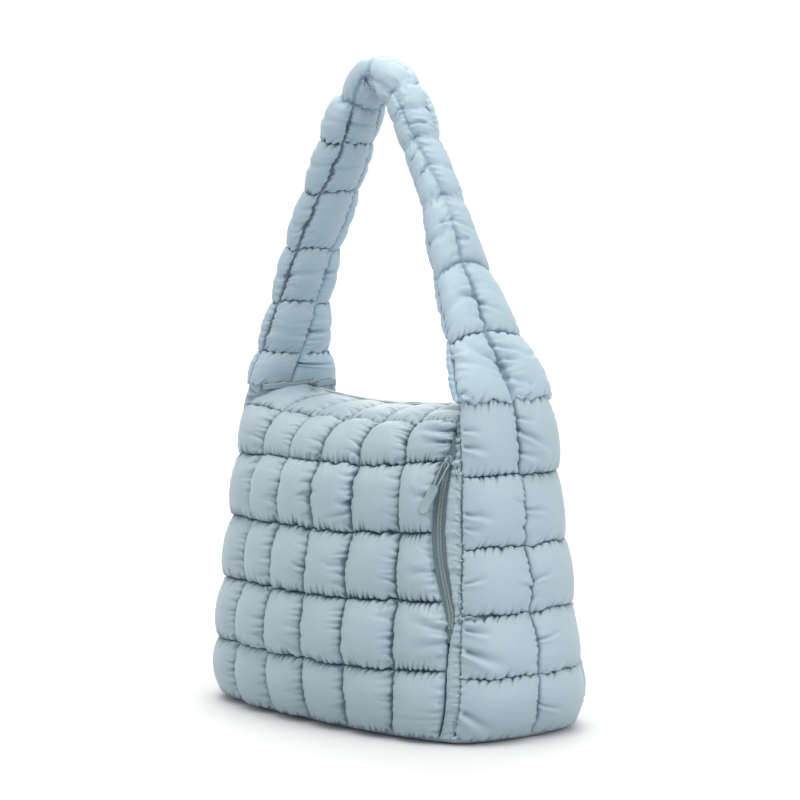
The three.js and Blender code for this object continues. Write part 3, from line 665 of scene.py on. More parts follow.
def quilted_panel(
    name, surface, columns, rows, cell, puff, seed, steps=(24, 24), run_on=0, drop=(5.2, 8.0), edge_drop=0.3,
    sag=0.22, wander=0.012, ripple=0.016, spacing=(4.0, 9.0), depth=(4.0, 2.0), reach=(10.0, 4.5),
    long_share=(0.06, 0.02), far_side=0.3, crowd=(0.75, 1.06), end_crowd=1.0, dent=0.0, lining_depth=3.0,
    mid_fold=0.0, pinch=None, calm=None, bend=None,
):
    """Pairs give a value for the columns and one for the rows. cell, puff, drop, spacing, depth, reach and
    mid_fold are in mm, steps in points for each cell, run_on in points past the ends, wander in cells."""
    random = np.random.default_rng(seed)
    a = np.arange(columns * steps[0] + 1) / steps[0]
    b = np.arange(-run_on, rows * steps[1] + run_on + 1) / steps[1]
    column, row = grid(a, b)
    free = np.sin(np.pi * column / columns) ** 0.5 * np.sin(np.pi * np.clip(row / rows, 0, 1)) ** 0.5
    shift_a, shift_b = (
        wander * smooth_noise(column.shape, (2 * columns, 2 * rows), random) * free for _ in range(2)
    )
    shift_a = shift_a + ripple * smooth_noise(column.shape, (2 * columns, 8 * rows), random) * free
    shift_b = shift_b + ripple * smooth_noise(column.shape, (8 * columns, 2 * rows), random) * free
    base = surface(np.clip(column + shift_a, 0, columns), row + shift_b)

    in_cell = (
        np.clip(np.floor(column + 1e-9).astype(int), 0, columns - 1),
        np.clip(np.floor(row + 1e-9).astype(int), 0, rows - 1),
    )
    height = (random.normal(1.0, HEIGHT_SPREAD, (columns, rows)) * np.asarray(puff))[in_cell]
    lean = random.normal(0.0, LEAN_SPREAD, (columns, rows))[in_cell]
    inside = np.clip(2 * np.minimum(np.minimum(column, columns - column), np.minimum(row, rows - row)), 0, 1)
    near_row = 1 - np.clip(np.abs(row - np.round(row)) / ROW_REACH, 0, 1)
    sink = mix(drop[0], drop[1], near_row) * mix(edge_drop, 1.0, inside)
    held = (1.0, 1.0) if pinch is None else pinch(column, row)
    soft = 1 - dent * bell((row - np.round(row)) / DENT_WIDTH)
    round_a, round_b = mix(1.0, pillow(column, lean), held[0]), mix(soft, pillow(row, sag + lean), held[1])
    rise = SEAM / 2 - sink + (height + sink) * round_a * round_b
    beyond = np.clip(8 * np.maximum(-row, row - rows), 0, 1)
    rise = mix(rise, np.where(row < 0, SEAM / 2 - max(drop) - RUN_ON_DROP, 0.0), beyond)
    points = base + normals_of(base) * rise[..., None]

    lines = (np.isclose(a, np.round(a)), np.isclose(b, np.round(b)))
    row_held = lines[1][None, :] & (held[1] > 0.5 * (dent > 0))
    points = finer(inflate(points, lines[0][:, None] | row_held | (beyond > 0)), lines)

    a, b = (np.linspace(line[0], line[-1], count) for line, count in zip((a, b), points.shape))
    column, row = grid(a, b)
    folds, open_seam = gathers(a, b, cell, random, spacing, depth, reach, long_share, far_side)
    if pinch is not None:
        tight = [np.clip((share - SLACK_FROM) / (1 - SLACK_FROM), 0, 1) for share in pinch(column, row)]
        open_seam = [1 - (1 - notch) * share for notch, share in zip(open_seam, tight)]
    base = surface(column, row)
    points = crowd_seams(points, base, a, b, cell, crowd, end_crowd, open_seam)
    if mid_fold:
        folds = folds + slack_folds(a, b, cell, random, mid_fold)
    if calm is not None:
        folds = folds * calm(b)[None, :]
    if bend is not None:
        folds = folds + bend(column, row)
    points = points + normals_of(points) * folds[..., None]
    points[..., 2] = np.maximum(points[..., 2], FLOOR_CLEAR)

    coarse = grid(*(np.linspace(line[0], line[-1], len(line) // LINING_STRIDE + 1) for line in (a, b)))
    behind = surface(*coarse)
    dip = np.abs(np.sin(np.pi * coarse[0]) * np.sin(np.pi * coarse[1]))
    lining = behind - normals_of(behind) * (SEAM / 2 + max(drop) + lining_depth * dip)[..., None]
    # Painted seam shade: how deep each point lies in a hollow, none on the run-on, eased at the column seams.
    painted_seam_shade = hollows(points, normals_of(base)) * ((b >= 0) & (b <= rows))
    painted_seam_shade = painted_seam_shade * (1 - COLUMN_SHADE_EASE * bell((a - np.round(a)) * cell[0] / COLUMN_REACH))[:, None]
    made = closed_mesh(name, points, lining, (columns * cell[0], (b[-1] - b[0]) * cell[1]), painted_seam_shade)
    print(name, "faces:", len(made.data.polygons), "highest:", points[..., 2].max().round(1))
    return made


# %% [markdown]
# ## Front and back
# The front has six columns and six rows of cells, and the top rows lean in to the zipper. Its creases
# run off the pocket zipper and the corner. The back is sewn the same way, with flatter cells in the
# column that shows past the side panel in the photograph.

# %% Front and back panels
CELL = (61, 60)
FRONT_PUFFS = (13, 13, 13, 13, 11, 6)
BACK_PUFFS = np.tile((13.0, 13, 13, 13, 12, 11), (COLUMNS, 1))
BACK_PUFFS[0] = (13, 7, 2, -1, 1, 4)
BACK_PUFFS[:, -1] = (6, 7, 6, 4, 2, 0)
FRONT_CREASES = (
    (5.96, 5.72, 5.1, 5.6, 4.0, 4.5), (5.96, 5.38, 5.15, 5.34, 4.0, 4.0), (5.98, 4.72, 5.15, 4.66, 5.0, 5.0),
    (5.98, 4.4, 5.4, 4.36, 4.5, 4.0), (5.97, 3.5, 5.4, 3.52, 2.5, 3.0), (5.97, 2.45, 5.3, 2.42, 3.0, 3.5),
    (5.97, 1.6, 5.3, 1.75, 3.0, 4.0), (5.97, 1.42, 5.4, 1.32, 2.5, 3.5), (5.0, 4.45, 4.75, 4.5, 3.0, 2.5),
    (4.0, 3.4, 3.75, 3.42, 3.0, 2.5), (3.0, 2.4, 2.75, 2.42, 3.0, 2.5),
)
front = quilted_panel(
    "front_quilt", front_cells, COLUMNS, ROWS, CELL, FRONT_PUFFS, seed=11, bend=creases(FRONT_CREASES, CELL)
)
back = quilted_panel("back_quilt", back_cells, COLUMNS, ROWS, CELL, BACK_PUFFS, seed=12)

# %% [markdown]
# ## Sides
# Each side panel is two columns wide and flatter than the front. Its gathers are short, and a few long
# creases run in from the corner seam and the middle seam. At the foot of the strap the walls crowd
# more, so that the seam closes under the strap's own first row.

# %% Side panels
SIDE_CELL = (75, 62)
SIDE_SEWING = dict(
    steps=(32, 28), spacing=(4.5, 11.0), depth=(1.9, 1.2), reach=(6.5, 4.0), long_share=(0.0, 0.0),
    end_crowd=1.25,
)
SIDE_CREASES = (
    (0.09, 1.9, 0.5, 2.0, 4.0, 3.0), (0.09, 1.78, 0.4, 1.72, 3.5, 2.6), (0.1, 1.46, 0.6, 1.2, 5.0, 4.5),
    (0.09, 2.5, 0.35, 2.58, 2.4, 2.5), (0.09, 3.5, 0.45, 3.42, 3.0, 3.0), (0.09, 3.3, 0.3, 3.25, 2.4, 2.5),
    (0.09, 4.4, 0.45, 4.34, 3.6, 3.0), (0.09, 4.62, 0.35, 4.6, 2.4, 2.5), (0.1, 0.46, 0.5, 0.15, 4.0, 4.5),
    (0.98, 2.4, 0.7, 2.45, 1.6, 2.0), (1.02, 1.55, 1.3, 1.6, 2.6, 2.2), (1.02, 3.5, 1.35, 3.45, 2.6, 2.2),
    (1.02, 0.5, 1.3, 0.42, 2.6, 2.2), (1.02, 2.5, 1.3, 2.55, 2.2, 2.2), (0.98, 3.6, 0.7, 3.66, 1.6, 2.0),
    (1.02, 4.6, 1.5, 4.3, 4.0, 3.0), (1.02, 4.3, 1.3, 4.2, 3.0, 2.4), (1.02, 4.75, 1.25, 4.7, 2.4, 2.0),
)
SIDE_PUFFS = np.full((SIDE_COLUMNS, SIDE_ROWS), 6.5)
LEFT_PUFFS = SIDE_PUFFS.copy()
SIDE_PUFFS[1, -1] = 10
side_right = quilted_panel(
    "side_quilt_right", side_point, SIDE_COLUMNS, SIDE_ROWS, SIDE_CELL, SIDE_PUFFS, seed=13,
    bend=creases(SIDE_CREASES, SIDE_CELL), **SIDE_SEWING
)
side_left = quilted_panel(
    "side_quilt_left", left_side_point, SIDE_COLUMNS, SIDE_ROWS, SIDE_CELL, LEFT_PUFFS, seed=14, **SIDE_SEWING
)

# %% [markdown]
# ## The strap
# The strap is the same quilting wrapped round a tube in two halves. High on the right leg its seams are
# slack, apart from a dimple where they cross. Where it folds over at the top, its right part lies on its
# left part, and the last cell above the left foot is short and pulled smooth. A few points run on past
# each foot, down into the bag.

# %% Strap
SLACK_START, SLACK_RAMP, SLACK_END = 1.4, 1.2, 6.6
APEX_ROW, APEX_SLANT, APEX_DIP, APEX_LIP = 5.0, 0.31, 6, 1.5
SMOOTH_ROW = 11.4
STRAP_CELL, INNER_CELL, INNER_PUFF = (40, 62), (34, 62), 5.5


def strap_pinch(column, row):
    slack = np.clip((row - SLACK_START) / SLACK_RAMP, 0, 1) * np.clip(SLACK_END - row, 0, 1)
    middle = np.exp(-(((column - 1) / 0.5) ** 4))
    crossing = bell((column - 1) / 0.25)
    return 1 - 0.65 * middle * slack, 1 - slack * (1 - 0.6 * crossing)


def apex_fold(column, row):
    past = row - APEX_ROW - APEX_SLANT * column
    inside = np.clip((STRAP_COLUMNS - column) / 0.8, 0.05, 1)
    dip = -APEX_DIP * inside * np.exp(-past / 0.25) * (1 - np.exp(-past / 0.02))
    return np.where(past > 0, dip, APEX_LIP * np.exp(np.minimum(past, 0) / 0.2))


def strap_calm(row):
    return np.clip((SMOOTH_ROW - row) / 0.5, 0.1, 1)


STRAP_CREASES = (
    (0.98, 0.5, 0.3, 0.95, 4.0, 3.5), (0.08, 0.8, 0.5, 0.74, 2.5, 2.5), (1.02, 0.78, 1.5, 0.66, 4.0, 2.5),
    (1.02, 0.58, 1.35, 0.54, 3.0, 2.2), (1.02, 0.32, 1.4, 0.2, 3.0, 3.0), (1.02, 1.4, 1.5, 1.28, 3.0, 2.5),
    (0.98, 1.5, 0.5, 1.6, 2.5, 2.5), (0.1, 0.12, 0.55, 0.02, 3.0, 2.5), (0.7, 2.62, 1.6, 2.5, 2.5, 2.5),
    (1.3, 2.3, 0.6, 2.25, 2.0, 2.5), (0.6, 3.45, 1.6, 3.5, 2.5, 2.5), (0.5, 3.72, 1.5, 3.8, 2.5, 2.5),
    (1.5, 4.3, 0.7, 4.25, 2.5, 2.5), (0.7, 4.6, 1.6, 4.55, 2.0, 2.5),
)
INNER_CREASES = (
    (1.98, 11.3, 1.3, 11.5, 4.5, 3.0), (1.98, 10.5, 1.4, 10.55, 3.0, 2.5), (1.98, 9.4, 1.5, 9.35, 3.0, 2.5),
)
STRAP_PUFFS = np.full((STRAP_COLUMNS, STRAP_ROWS), 6.0)
STRAP_PUFFS[1, [0, 5, 6, 7]] = 9, 8, 11, 8
STRAP_SEWING = dict(
    steps=(16, 24), run_on=8, drop=(5.0, 5.0), wander=0.03, ripple=0.022, spacing=(4.5, 9.0),
    depth=(2.0, 1.6), reach=(9.0, 5.0), long_share=(0.15, 0.04), far_side=1.0, crowd=(0.7, 1.0),
    end_crowd=1.35, dent=0.3, lining_depth=0.0, mid_fold=3.0, calm=strap_calm,
)
strap_creases, inner_creases = creases(STRAP_CREASES, STRAP_CELL), creases(INNER_CREASES, INNER_CELL)
strap_outer = quilted_panel(
    "strap_outer_quilt", strap_outer_cells, STRAP_COLUMNS, STRAP_ROWS, STRAP_CELL, STRAP_PUFFS, seed=15,
    pinch=strap_pinch, bend=lambda column, row: apex_fold(column, row) + strap_creases(column, row),
    **STRAP_SEWING
)
strap_inner = quilted_panel(
    "strap_inner_quilt", strap_inner_cells, STRAP_COLUMNS, STRAP_ROWS, INNER_CELL, INNER_PUFF, seed=16,
    bend=lambda column, row: apex_fold(STRAP_COLUMNS - column, row) + inner_creases(column, row),
    **STRAP_SEWING
)

# %% [markdown]
# ## The gathered strip beside the pocket
# A narrow strip lies between the pocket zipper and the corner seam. It has no cross seams of its own,
# so its rows are left unpinned, and close folds run in from both of its long edges.

# %% Corner strip
STRIP_CELL = (16, 31)
STRIP_PUFFS = (1, 1, 1, 1, 3.5, 5.5, 6, 5, 0, -3)
strip = quilted_panel(
    "corner_strip_quilt", strip_cells, 1, STRIP_ROWS, STRIP_CELL, STRIP_PUFFS, seed=17, steps=(12, 16),
    drop=(2.5, 2.5), edge_drop=1.0, wander=0.0, spacing=(2.8, 5.5), depth=(3.0, 0.0), reach=(7.0, 4.0),
    long_share=(0.3, 0.0), crowd=(0.8, 0.0), lining_depth=0.0, pinch=lambda column, row: (1.0, 0.0),
)

# %% [markdown]
# ## The base
# The base is a flat padded cushion inside the four panels. Only its rolled edge shows, below the side
# panel. A loft of a few rings, each a little further in or out than the last, gives that roll.

# %% Base cushion
BASE_POINTS, BASE_RIPPLE, RIPPLE_STRIDE = 60, 0.5, 3
BASE_PROFILE = (
    (-60, 0.5), (-20, 0.4), (-9, 0.6), (-4, 2.0), (-1.0, 4.6),
    (-0.5, 7.2), (-2.5, 10.0), (-8, 11.6), (-60, 11.8),
)


def loft_faces(rings, count):
    """The faces between rings of points, each ring closed on itself."""
    numbers = np.arange(rings * count).reshape(rings, count)
    return quads_of(np.concatenate([numbers, numbers[:, :1]], 1).T).tolist()


def base_cushion():
    along = np.arange(2 * BASE_POINTS) / (2 * BASE_POINTS)
    half = np.concatenate([front_point(COLUMNS * along, 0), side_point(SIDE_COLUMNS * along[::2], 0)])[:, :2]
    outline = np.concatenate([half, -half])
    count = len(outline)
    run = np.roll(outline, -1, 0) - np.roll(outline, 1, 0)
    outward = unit(np.stack([run[:, 1], -run[:, 0]], 1))
    random = np.random.default_rng(18)
    knots = np.arange(0, count + RIPPLE_STRIDE, RIPPLE_STRIDE)
    ripple = np.interp(np.arange(count), knots, random.normal(0, BASE_RIPPLE, len(knots)))
    rings = [
        np.column_stack([outline + outward * (out + ripple * (0.5 < z < 11))[:, None], np.full(count, z)])
        for out, z in BASE_PROFILE
    ]
    points = np.concatenate(rings + [[[0, 0, BASE_PROFILE[0][1]], [0, 0, BASE_PROFILE[-1][1]]]])
    faces = loft_faces(len(rings), count)
    low, high = len(points) - 2, len(points) - 1
    for i in range(count):
        j, top = (i + 1) % count, low - count
        faces += [[low, j, i], [high, top + i, top + j]]
    return smooth_shaded(plain_object("base_cushion", (points * MM).tolist(), faces))


base_pad = base_cushion()
print("base cushion faces:", len(base_pad.data.polygons))

# %% [markdown]
# ## Shared shader effects
# Two small node groups are shared by all finishes. `fine_weave` crosses two wave textures into a plain
# weave, and `soft_cloud` gives slow uneven patches, which keep large plain areas from looking like
# plastic. A group's sockets are made on its interface, and each finish sets them to its own values.

# %% Node groups
CLOUD_DETAIL, CLOUD_RANGE = 4.0, (0.3, 0.7)


def add_node(tree, kind, group=None, **values):
    """A new node of one kind, or of one group, with the named inputs set."""
    made = tree.nodes.new(kind)
    if group:
        made.node_tree = group
    for label, value in values.items():
        made.inputs[label.replace("_", " ")].default_value = value
    return made


def group_tree(name, output, **inputs):
    """A new group with a vector input, number inputs with these defaults, and one number output."""
    tree = bpy.data.node_groups.new(name, "ShaderNodeTree")
    tree.interface.new_socket("Vector", in_out="INPUT", socket_type="NodeSocketVector")
    for label, value in inputs.items():
        tree.interface.new_socket(label, in_out="INPUT", socket_type="NodeSocketFloat").default_value = value
    tree.interface.new_socket(output, in_out="OUTPUT", socket_type="NodeSocketFloat")
    return tree, tree.nodes.new("NodeGroupInput").outputs, tree.nodes.new("NodeGroupOutput").inputs


def weave_group():
    tree, given, made = group_tree("fine_weave", "Height", Threads=700.0)
    cross = tree.nodes.new("ShaderNodeMath")
    cross.operation = "MULTIPLY"
    for k, direction in enumerate("XY"):
        wave = tree.nodes.new("ShaderNodeTexWave")
        wave.bands_direction = direction
        tree.links.new(given["Vector"], wave.inputs["Vector"])
        tree.links.new(given["Threads"], wave.inputs["Scale"])
        tree.links.new(wave.outputs["Fac"], cross.inputs[k])
    tree.links.new(cross.outputs[0], made["Height"])
    return tree


def cloud_group():
    tree, given, made = group_tree("soft_cloud", "Value", Scale=20.0, Low=0.0, High=1.0)
    noise = add_node(tree, "ShaderNodeTexNoise", Detail=CLOUD_DETAIL)
    spread = add_node(tree, "ShaderNodeMapRange", From_Min=CLOUD_RANGE[0], From_Max=CLOUD_RANGE[1])
    for source, target in (
        (given["Vector"], noise.inputs["Vector"]), (given["Scale"], noise.inputs["Scale"]),
        (noise.outputs["Fac"], spread.inputs["Value"]), (given["Low"], spread.inputs["To Min"]),
        (given["High"], spread.inputs["To Max"]), (spread.outputs["Result"], made["Value"]),
    ):
        tree.links.new(source, target)
    return tree


FINE_WEAVE, SOFT_CLOUD = weave_group(), cloud_group()
print("node groups:", FINE_WEAVE.name, SOFT_CLOUD.name)

# %% [markdown]
# ## Finishes
# The whole bag is one hue, so the finishes differ by their surface: a smooth satin nylon, a ribbed woven
# tape, a harder plastic coil, a satin painted slider and a soft moulded pull. The strap's nylon is a
# little bluer than the body's, as in the photograph. The nylon also reads the painted seam shade
# attribute: in the seams its colour is painted a darker, bluer shade.

# %% Finishes
GLOSS_SCALE, GRAIN_SCALE, SHEEN_ROUGHNESS = 3.1, 900.0, 0.4


def blend(tree, share, first, second):
    """A colour between two colours, of which the first may come from another node."""
    made = tree.nodes.new("ShaderNodeMix")
    made.data_type = "RGBA"
    tree.links.new(share, made.inputs["Factor"])
    made.inputs["B"].default_value = (*second, 1)
    if isinstance(first, tuple):
        made.inputs["A"].default_value = (*first, 1)
    else:
        tree.links.new(first, made.inputs["A"])
    return made.outputs["Result"]


def finish(name, light, dark, rough, patch, bump, threads=None, sheen=0.0, coat=0.0, metal=0.0, deep=None):
    """light and dark are the two ends of the colour, rough a low and high roughness, patch a noise scale,
    bump a height in metres, threads a weave scale, and deep the colour of the shade painted in the hollows."""
    material = bpy.data.materials.new(name)
    material.use_nodes = True
    tree = material.node_tree
    shader, link = tree.nodes["Principled BSDF"].inputs, tree.links.new
    spots = tree.nodes.new("ShaderNodeTexCoord").outputs
    cloud = add_node(tree, "ShaderNodeGroup", SOFT_CLOUD, Scale=patch, Low=0.0, High=1.0)
    gloss = add_node(
        tree, "ShaderNodeGroup", SOFT_CLOUD, Scale=GLOSS_SCALE * patch, Low=rough[0], High=rough[1]
    )
    relief = add_node(tree, "ShaderNodeBump", Strength=1.0, Distance=bump)
    colour = blend(tree, cloud.outputs["Value"], light, dark)
    # Painted shade: where the painted seam shade attribute is high, the colour turns to the deep colour.
    if deep:
        painted_seam_shade = tree.nodes.new("ShaderNodeAttribute")
        painted_seam_shade.attribute_name = "painted_seam_shade"
        colour = blend(tree, painted_seam_shade.outputs["Fac"], colour, deep)
    if threads:
        weave = add_node(tree, "ShaderNodeGroup", FINE_WEAVE, Threads=threads)
        link(spots["UV"], weave.inputs["Vector"])
        height = weave.outputs["Height"]
    else:
        grain = add_node(tree, "ShaderNodeTexNoise", Scale=GRAIN_SCALE)
        link(spots["Object"], grain.inputs["Vector"])
        height = grain.outputs["Fac"]
    for source, target in (
        (spots["Object"], cloud.inputs["Vector"]), (spots["Object"], gloss.inputs["Vector"]),
        (colour, shader["Base Color"]), (gloss.outputs["Value"], shader["Roughness"]),
        (height, relief.inputs["Height"]), (relief.outputs["Normal"], shader["Normal"]),
    ):
        link(source, target)
    for label, value in (
        ("Sheen Weight", sheen), ("Sheen Roughness", SHEEN_ROUGHNESS),
        ("Coat Weight", coat), ("Metallic", metal),
    ):
        shader[label].default_value = value
    return material


# deep is the colour of the shade painted into the seams.
CLOTH = dict(rough=(0.44, 0.56), patch=14, bump=0.00005, threads=560, sheen=0.1, deep=(0.07, 0.165, 0.24))
WOVEN = dict(patch=60, bump=0.0001, threads=420)
nylon = finish("quilt_nylon", (0.285, 0.372, 0.432), (0.272, 0.358, 0.418), **CLOTH)
nylon_strap = finish("quilt_nylon_strap", (0.292, 0.394, 0.468), (0.279, 0.38, 0.453), **CLOTH)
nylon_inner = finish("quilt_nylon_inner", (0.3, 0.42, 0.51), (0.286, 0.404, 0.492), **CLOTH)
zip_tape = finish("woven_tape", (0.135, 0.192, 0.213), (0.115, 0.165, 0.184), (0.7, 0.85), **WOVEN)
top_tape_cloth = finish("woven_tape_top", (0.24, 0.33, 0.39), (0.22, 0.31, 0.37), (0.6, 0.75), **WOVEN)
zip_coil = finish("coil_plastic", (0.36, 0.45, 0.482), (0.33, 0.415, 0.445), (0.3, 0.42), 90, 0.00002)
slider_metal = finish(
    "slider_metal", (0.19, 0.26, 0.305), (0.17, 0.235, 0.28), (0.18, 0.3), 90, 0.00002, coat=0.4, metal=0.4
)
rubber = finish("pull_rubber", (0.21, 0.29, 0.34), (0.198, 0.277, 0.327), (0.5, 0.6), 70, 0.00003)
thread = finish("thread", (0.21, 0.285, 0.335), (0.185, 0.26, 0.31), (0.6, 0.75), 200, 0.00005)
print("finishes:", [item.name for item in bpy.data.materials if item.users or item.node_tree])

# %% [markdown]
# ## Tapes
# A zipper tape is a woven ribbon. Its section has two low ribs beside the coil and a folded edge, and
# the ribbon follows the opening, which narrows to a point at both ends. The same function makes the
# flat tapes at the feet of the strap. Each ribbon is closed by a back face half a millimetre below. A
# frame is a place on a line with three directions: across it, along it and up out of it.

# %% Tapes
RIBS = (
    0.3, 0.6, 0.9, 0.9, 0.5, 0.4, 0.9, 1.0, 0.6, 0.5, 0.5, 0.5,
    0.5, 0.5, 0.6, 1.0, 0.9, 0.4, 0.5, 0.9, 0.9, 0.6, 0.3,
)
FOOT_RIBS = (0.2, 0.6, 0.8, 0.6, 0.6, 0.6, 0.8, 0.6, 0.2)
TAPE_BACK = 0.5
POCKET_ENDS, POCKET_TUCK = (1.4, 4.55), 0.02
TOP_HALF_LENGTH, TOP_HALF_WIDTH = 141, 5.2
FOOT_HALF_TURN = 1.03
FOOT_EDGES = {
    "right": ((0.14, 6.0), (0.03, 5.5)),
    "left": ((STRAP_ROWS + 0.11, 5.5), (STRAP_ROWS - 0.02, 6.0)),
}


def pocket_frames(row):
    row = np.asarray(row, float)
    place, ahead, behind = (
        front_point(read(POCKET, "row", "zip", row + step), row + step) for step in (0.0, 0.02, -0.02)
    )
    along = unit(ahead - behind)
    across = unit(np.cross(along, facing(front_point, read(POCKET, "row", "zip", row), row)))
    return place, across, along, unit(np.cross(across, along))


def top_frames(x):
    x = np.asarray(x, float)

    def spot(at):
        bow = 1 - (at / ZIP_HALF_LENGTH) ** 2
        end_z = np.where(at < 0, FRONT["left_z"][-1], FRONT["right_z"][-1])
        return stack(at, 0.0, mix(end_z, FRONT["middle_z"][-1], bow))

    along = unit(spot(x + 1) - spot(x - 1))
    across = np.broadcast_to([0.0, -1.0, 0.0], along.shape)
    return spot(x), across, along, unit(np.cross(across, along))


def ribbon(name, left, right, normal, heights):
    share = np.linspace(0, 1, len(heights))[:, None, None]
    middle = mix(left[None], right[None], share)
    outside = middle + normal[None] * np.asarray(heights, float)[:, None, None]
    width = float(np.linalg.norm(right - left, axis=1).max())
    length = float(np.linalg.norm(np.diff(left, axis=0), axis=1).sum())
    return closed_mesh(name, outside, middle - normal[None] * TAPE_BACK, (width, length))


def foot_tape(side):
    angle = np.linspace(-FOOT_HALF_TURN, FOOT_HALF_TURN, 60) + 1.5 * math.pi
    left, right = (strap_point(row, angle, lift) for row, lift in FOOT_EDGES[side])
    middle = 0.5 * sum(row for row, lift in FOOT_EDGES[side])
    out = unit(strap_point(middle, angle, 8) - strap_point(middle, angle, 4))
    return ribbon(f"strap_foot_tape_{side}", left, right, out, FOOT_RIBS)


rows = np.linspace(*POCKET_ENDS, 90)
pocket_edges = (
    front_point(read(POCKET, "row", edge, rows) + shift, rows)
    for edge, shift in (("panel", -POCKET_TUCK), ("strip", POCKET_TUCK))
)
pocket_tape = ribbon("pocket_tape", *pocket_edges, pocket_frames(rows)[3], RIBS)
place, across, _, up = top_frames(np.linspace(-TOP_HALF_LENGTH, TOP_HALF_LENGTH, 140))
top_tape = ribbon("top_tape", place - across * TOP_HALF_WIDTH, place + across * TOP_HALF_WIDTH, up, RIBS)
foot_tape_right, foot_tape_left = foot_tape("right"), foot_tape("left")
print("tapes:", [piece.name for piece in (pocket_tape, top_tape, foot_tape_right, foot_tape_left)])

# %% [markdown]
# ## Teeth and stitches
# Zipper teeth and sewing stitches are one small shape repeated along a line, which is what Geometry
# Nodes are for. The line is a mesh of loose points, and each point carries two vectors: the way its
# stamp lies, and the way up. The tree rounds a little block, turns it by those vectors, sets one on
# every point, and makes the copies real, because an exported model keeps no instances.

# %% Stamping tree
SIZES = ("Length", "Width", "Height")


def stamp_tree():
    tree = bpy.data.node_groups.new("stamp_along_line", "GeometryNodeTree")
    for label, way, kind in (
        ("Line", "INPUT", "Geometry"), *((label, "INPUT", "Float") for label in SIZES),
        ("Finish", "INPUT", "Material"), ("Stamps", "OUTPUT", "Geometry"),
    ):
        tree.interface.new_socket(label, in_out=way, socket_type="NodeSocket" + kind)
    given, made, size, block, rounded, lies, up, turn, roll, stamps, real, smooth, dress = (
        tree.nodes.new(kind) for kind in (
            "NodeGroupInput", "NodeGroupOutput", "ShaderNodeCombineXYZ", "GeometryNodeMeshCube",
            "GeometryNodeSubdivisionSurface", "GeometryNodeInputNamedAttribute",
            "GeometryNodeInputNamedAttribute", "FunctionNodeAlignRotationToVector",
            "FunctionNodeAlignRotationToVector", "GeometryNodeInstanceOnPoints",
            "GeometryNodeRealizeInstances", "GeometryNodeSetShadeSmooth", "GeometryNodeSetMaterial",
        )
    )
    for attribute, label in ((lies, "lies"), (up, "up")):
        attribute.data_type = "FLOAT_VECTOR"
        attribute.inputs["Name"].default_value = label
    turn.axis, roll.axis, roll.pivot_axis = "X", "Z", "X"
    for source, output, target, entry in (
        *((given, label, size, axis) for label, axis in zip(SIZES, "XYZ")),
        (size, "Vector", block, "Size"), (block, "Mesh", rounded, "Mesh"),
        (lies, "Attribute", turn, "Vector"), (turn, "Rotation", roll, "Rotation"),
        (up, "Attribute", roll, "Vector"), (roll, "Rotation", stamps, "Rotation"),
        (given, "Line", stamps, "Points"), (rounded, "Mesh", stamps, "Instance"),
        (stamps, "Instances", real, "Geometry"), (real, "Geometry", smooth, "Geometry"),
        (smooth, "Geometry", dress, "Geometry"), (given, "Finish", dress, "Material"),
        (dress, "Geometry", made, "Stamps"),
    ):
        tree.links.new(source.outputs[output], target.inputs[entry])
    return tree


STAMP = stamp_tree()
print("stamping tree nodes:", len(STAMP.nodes))


def stamp(name, points, lies, up, sizes, material):
    """Sets one rounded block on every point and returns the result as a plain mesh. Sizes in mm."""
    line = plain_object(name, (points * MM).tolist(), [])
    for label, vectors in (("lies", lies), ("up", up)):
        attribute = line.data.attributes.new(label, "FLOAT_VECTOR", "POINT")
        attribute.data.foreach_set("vector", np.ascontiguousarray(vectors, dtype=np.float32).ravel())
    work = line.modifiers.new("stamp", "NODES")
    work.node_group = STAMP
    values = {"Finish": material, **{label: size * MM for label, size in zip(SIZES, sizes)}}
    for item in STAMP.interface.items_tree:
        if item.in_out == "INPUT" and item.name in values:
            work[item.identifier] = values[item.name]
    result = bpy.data.meshes.new_from_object(line.evaluated_get(bpy.context.evaluated_depsgraph_get()))
    line.modifiers.clear()
    line.data = result
    print(name, "stamps:", len(points), "faces:", len(result.polygons))
    return line


# %% [markdown]
# ## Zipper coils
# A coil zipper closes with two rows of teeth that lean against each other, the right row half a pitch
# further on than the left. `even` finds places a pitch apart along the curved line. Each coil stops at
# its slider.

# %% Zipper coils
TOOTH_PITCH, TOOTH_SLANT, TOOTH_SIZES = 1.7, 0.3, (3.6, 1.15, 1.7)
TOOTH_ASIDE, TOOTH_LIFT = 1.45, 1.5
POCKET_COIL_ENDS, TOP_COIL_ENDS = (1.6, 3.88), (-119, 138)


def run_along(points):
    """How far each point of a line is from its start."""
    return np.concatenate([[0], np.cumsum(np.linalg.norm(np.diff(points, axis=0), axis=1))])


def even(frames, ends, pitch):
    """Parameter values that lie a pitch apart along a line of frames."""
    fine = np.linspace(*ends, 800)
    run = run_along(frames(fine)[0])
    return np.interp(np.arange(0.5 * pitch, run[-1], pitch), run, fine)


def coil(name, frames, ends):
    place, across, along, up = frames(even(frames, ends, TOOTH_PITCH))
    left = place - across * TOOTH_ASIDE + up * TOOTH_LIFT
    right = place + across * TOOTH_ASIDE + up * TOOTH_LIFT + along * TOOTH_PITCH / 2
    lies = np.concatenate([across + along * TOOTH_SLANT, across - along * TOOTH_SLANT])
    return stamp(name, np.concatenate([left, right]), lies, np.concatenate([up, up]), TOOTH_SIZES, zip_coil)


pocket_coil = coil("pocket_coil", pocket_frames, POCKET_COIL_ENDS)
top_coil = coil("top_coil", top_frames, TOP_COIL_ENDS)

